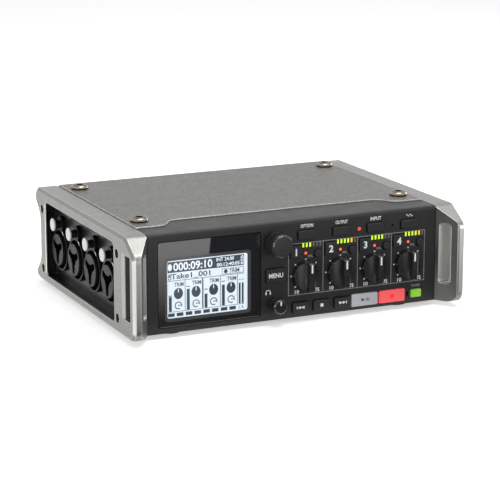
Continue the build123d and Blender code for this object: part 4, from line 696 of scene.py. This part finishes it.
# A small metal latch bit, drawn bright and glowing as a painted glint.
latch_metal_glint = Look("latch_metal_glint", srgb(232, 226, 212), rough=0.25, metal=0.9).mottle(900, 0.1)
latch_metal_glint.glow(srgb(232, 226, 212), 0.2)
PIN_CIRCLE = 3.6        # the three pin holes round the plug's bore
PIN_LOBE = 1.9
PLUG_BORE = 2.4
for i, name in zip(CHANNELS, each("input_jack")):
    low, high = corners(name)
    axis_y = (low[1] + high[1]) / 2
    axis_z = low[2] + (high[1] - low[1]) / 2        # the jack's flange is round below
    clover = Print(f"jack_clover_{i}", low[0], painted_hole_shade, side="left")
    for turn in (30, 150, 270):
        clover.disc(*on_circle(axis_y, axis_z, PIN_CIRCLE, turn), PIN_LOBE)
    clover.disc(axis_y, axis_z, PLUG_BORE)
    clover.done("case", "jack_black")
    # Painted glint: the bright latch bit beside the flange's top.
    latch = Print(f"jack_latch_glint_{i}", low[0] + 1.4, latch_metal_glint, 0.03, "left")
    y, z = axis_y - 4.6, axis_z + 9.2
    latch.face([(y + 0.9, z + 0.7), (y + 0.5, z + 1.1), (y - 0.9, z - 0.4), (y - 0.5, z - 0.8)])
    latch.done("case", "jack_black")

# ------------------------------------------------------------------ display picture
# Measured in millimetres from the display module's lower left corner. Its layers lie on the
# window's face, each a little further forward than the one before.
LENS = corners("display_window")[0][1]
SCREEN = (corners("lcd_module")[0][0], corners("lcd_module")[0][2])
TRACKS = range(4)
TRACK_STEP = 9.15
LEFT, RIGHT = 2.5, 42.3             # ends of the picture's lines
HEAD_LOW, HEAD_HIGH = 25.4, 30.7    # dark strip along the top
TITLE_UP = 23.25
TITLE_LINE = 21.25
BARS_LOW, BARS_TOP = 6.4, 16.7      # the level bars between the tracks' fields

rim_look = Look("screen_rim", srgb(70, 72, 74), rough=0.12, coat=0.3).mottle(200, 0.05)
rim = Print("screen_rim", LENS, rim_look, 0.01, origin=SCREEN)
rim.rounded(1.1, 1.4, 46.0, 32.7, 1.6)
rim.done("case", "window_lens")

pale = Look("screen_glass", srgb(214, 226, 234), rough=0.12, coat=0.5).mottle(60, 0.02)
pale.glow(srgb(214, 226, 234), 0.35)
glass = Print("screen_glass", LENS, pale, 0.03, origin=SCREEN)
glass.rounded(2.3, 3.1, 44.1, 31.2, 1.0)
glass.done("case", "screen")

ink_look = Look("screen_ink", srgb(66, 73, 88), rough=0.15, coat=0.5).mottle(300, 0.08)
ink_look.glow(srgb(58, 66, 80), 0.2)
ink = Print("screen_ink", LENS, ink_look, 0.05, origin=SCREEN)
ink.bar(LEFT, HEAD_LOW, RIGHT, HEAD_HIGH)

# The title row: the take's name behind a small sign, and a field that names the trim page.
ink.text("Take1_001", 14.4, TITLE_UP, 3.0, 20.5, bold=0.02)
ink.outline(2.8, 21.9, 4.4, 24.6, 0.35)
ink.bar(3.3, 23.1, 3.9, 24.0)
ink.outline(30.7, 21.8, 42.2, 24.7, 0.2)
ink.disc(32.7, TITLE_UP, 1.0)
ink.text("TRIM", 37.2, TITLE_UP, 1.9, 5.2, bold=0.02)
ink.bar(LEFT, TITLE_LINE, RIGHT, TITLE_LINE + 0.25)

# Each track's field: its word, a filled dial, an open dial, a level bar with its scale and
# peak, and two boxes below. METERS gives where a bar's middle, top and peak lie.
METERS = ((3.8, 13.7, 13.9), (13.1, 16.7, 17.7), (22.3, 13.3, 15.3), (31.4, 16.7, 18.2))
for i, (x, top, peak) in zip(TRACKS, METERS):
    field = TRACK_STEP * i
    ink.text("TRIM", 8.3 + field, 19.4, 2.0, 4.8, bold=0.02)
    ink.disc(8.0 + field, 14.95, 2.35, 2.75)
    ink.ring(8.0 + field, 9.1, 1.9, 1.45, -20, 320, 28)
    ink.bar(7.8 + field, 8.9, 9.3 + field, 9.3)
    ink.bar(x - 0.75, BARS_LOW, x + 0.75, top)
    for j in range(11):
        ink.bar(x - 1.35, 6.8 + 1.25 * j, x - 1.05, 7.1 + 1.25 * j)
    ink.bar(x - 0.9, peak, x + 0.9, peak + 0.4)
    for j in range(2):
        ink.bar(2.6 + field + 4.5 * j, 3.8, 6.0 + field + 4.5 * j, 5.5)
for x, wide in ((11.45, 0.25), (20.6, 0.6), (29.8, 0.25), (38.8, 0.25)):
    ink.bar(x - wide / 2, BARS_LOW, x + wide / 2, TITLE_LINE)
ink.bar(LEFT, 6.05, RIGHT, 6.25)

# The two bars at the right, left and right channel.
for side, x in (("L", 40.0), ("R", 41.6)):
    ink.bar(x - 0.5, BARS_LOW, x + 0.5, BARS_TOP)
    ink.bar(x - 0.5, 18.2, x + 0.5, 18.45)
    ink.text(side, x, 4.6, 1.3)
ink.done("case", "screen")

light_look = Look("screen_light_ink", srgb(228, 238, 246), rough=0.12, coat=0.5).mottle(60, 0.02)
light_look.glow(srgb(228, 238, 246), 0.35)
light = Print("screen_light_ink", LENS, light_look, 0.07, origin=SCREEN)

# In the dark strip: a record sign, the counter, the source, the time left and a battery.
light.disc(3.7, 28.05, 1.05, 1.7)
light.text("000:09:10", 15.6, 28.05, 4.0, 20.2, bold=0.02)
light.text("INT 24.00", 32.4, 29.4, 1.8, 9.2, bold=0.02)
light.text("00:12:40:05", 34.0, 26.8, 1.8, 12.0, bold=0.02)
light.outline(40.6, 25.9, 42.0, 29.9, 0.3)
light.bar(41.0, 29.9, 41.6, 30.3)
for i in range(3):
    light.bar(40.8, 26.4 + 1.2 * i, 41.8, 26.7 + 1.2 * i)

# The pointers of the filled dials.
for i in TRACKS:
    x = 8.0 + TRACK_STEP * i
    light.bar(x - 0.2, 15.5, x + 0.2, 17.3)
light.done("case", "screen")


# ------------------------------------------------------------------ floor, world, lights and camera
def seen_white(tree):
    """1 for rays that see the background straight, in a reflection or through glass."""
    path = tree.nodes.new("ShaderNodeLightPath")
    value = path.outputs["Is Camera Ray"]
    for name in ("Is Glossy Ray", "Is Transmission Ray"):
        both = tree.nodes.new("ShaderNodeMath")
        both.operation = "MAXIMUM"
        tree.links.new(value, both.inputs[0])
        tree.links.new(path.outputs[name], both.inputs[1])
        value = both.outputs[0]
    return value


def flat(name, x0, y0, x1, y1, z):
    """A level sheet, in metres."""
    sheet = bmesh.new()
    outline = ((x0, y0, z), (x1, y0, z), (x1, y1, z), (x0, y1, z))
    sheet.faces.new([sheet.verts.new(point) for point in outline])
    made = bpy.data.meshes.new(name)
    sheet.to_mesh(made)
    sheet.free()
    piece = bpy.data.objects.new(name, made)
    scene.collection.objects.link(piece)
    return piece


FLOOR_LIFT = 0.5        # light that the white floor adds to its own, for the eye and for reflections


def make_floor():
    """A white floor that keeps the recorder's shadow."""
    floor = flat("floor", -3, -3, 3, 3, 0)
    look = Look("floor_white", srgb(245, 245, 245), rough=0.7, specular=0.0).mottle(3, 0.003)
    look.set("Emission Color", WHITE)
    glow = look.maths("MULTIPLY", seen_white(look.tree), FLOOR_LIFT)
    look.link(glow, look.shader.inputs["Emission Strength"])
    floor.data.materials.append(look.mat)


FLAG_SLOPE = -0.47      # sideways run of the card's edge for each metre away from the recorder
FLAG_START = -0.078     # where that edge would cross the recorder's middle line, in metres
FLAG_SOFT = 0.0004      # half the width of the edge
FLAG_DIM_Y = -0.085     # the bright side fades in between these two places
FLAG_BRIGHT_Y = -0.21
FLAG_DIM, FLAG_BRIGHT = 0.05, 1.4
FLAG_DARK = 0.06        # what the whole card gives, its dark side too


def make_flag():
    """A dark card before the recorder that only reflections see.

    Its slanting edge shows in the display window as an edge of light.
    """
    flag = flat("flag", -0.3, -0.26, 0.45, -0.072, 0.0015)
    flag.visible_camera = False
    flag.visible_diffuse = False
    flag.visible_shadow = False
    look = Look("flag_black", BLACK, 1.0, specular=0.0)
    edge = look.maths("MULTIPLY_ADD", look.along("Y"), FLAG_SLOPE, FLAG_START)
    beyond = look.maths("SUBTRACT", edge, look.along("X"))
    side = look.ramp(beyond, -FLAG_SOFT, FLAG_SOFT)
    fade = look.ramp(look.along("Y"), FLAG_DIM_Y, FLAG_BRIGHT_Y, FLAG_DIM, FLAG_BRIGHT)
    level = look.maths("MULTIPLY_ADD", side, fade, FLAG_DARK)
    look.set("Emission Color", WHITE)
    look.link(level, look.shader.inputs["Emission Strength"])
    flag.data.materials.append(look.mat)


WORLD_LIGHT = 0.42      # what the world lights with
WORLD_SEEN = 1.0        # how bright it looks


def make_world():
    """A white surround that lights less than it shows."""
    world = bpy.data.worlds.new("studio")
    world.use_nodes = True
    scene.world = world
    tree = world.node_tree
    background = tree.nodes["Background"]
    background.inputs["Color"].default_value = WHITE
    strength = tree.nodes.new("ShaderNodeMapRange")
    strength.inputs["To Min"].default_value = WORLD_LIGHT
    strength.inputs["To Max"].default_value = WORLD_SEEN
    tree.links.new(seen_white(tree), strength.inputs["Value"])
    tree.links.new(strength.outputs["Result"], background.inputs["Strength"])


LIT_POINT = Vector((0, 0, 0.03))


def area_light(name, place, size, power):
    """A soft rectangular lamp that points at the recorder."""
    data = bpy.data.lights.new(name, "AREA")
    data.shape = "RECTANGLE"
    data.size, data.size_y = size
    data.energy = power
    lamp = bpy.data.objects.new(name, data)
    lamp.location = place
    lamp.rotation_euler = (LIT_POINT - Vector(place)).to_track_quat("-Z", "Y").to_euler()
    scene.collection.objects.link(lamp)


CAMERA_AZIMUTH = 24.76      # degrees from the recorder's front towards its left
CAMERA_ELEVATION = 13.43
CAMERA_DISTANCE = 1.0117
CAMERA_TARGET = Vector((0, 0, 0.0295))


def make_camera():
    """The camera, at the photograph's viewing angle."""
    data = bpy.data.cameras.new("camera")
    data.sensor_width = 36
    data.lens = 142.0
    data.shift_x = 0.0098
    data.shift_y = -0.0236
    data.clip_start = 0.05
    camera = bpy.data.objects.new("camera", data)
    scene.collection.objects.link(camera)
    azimuth = math.radians(CAMERA_AZIMUTH)
    elevation = math.radians(CAMERA_ELEVATION)
    level = math.cos(elevation)
    ahead = Vector((math.sin(azimuth) * level, math.cos(azimuth) * level, -math.sin(elevation)))
    camera.location = CAMERA_TARGET - ahead * CAMERA_DISTANCE
    camera.rotation_euler = ahead.to_track_quat("-Z", "Y").to_euler()
    scene.camera = camera


make_floor()
make_flag()
make_world()
area_light("overhead", (0.1, -0.15, 0.95), (0.75, 0.5), 6.0)
area_light("left", (-1.0, -0.6, 0.22), (0.5, 0.3), 2.2)
area_light("right", (1.0, 0.35, 0.25), (0.4, 0.3), 1.6)
area_light("front", (0.6, -1.2, 0.22), (0.6, 0.3), 1.8)
make_camera()
scene.view_settings.view_transform = "Standard"
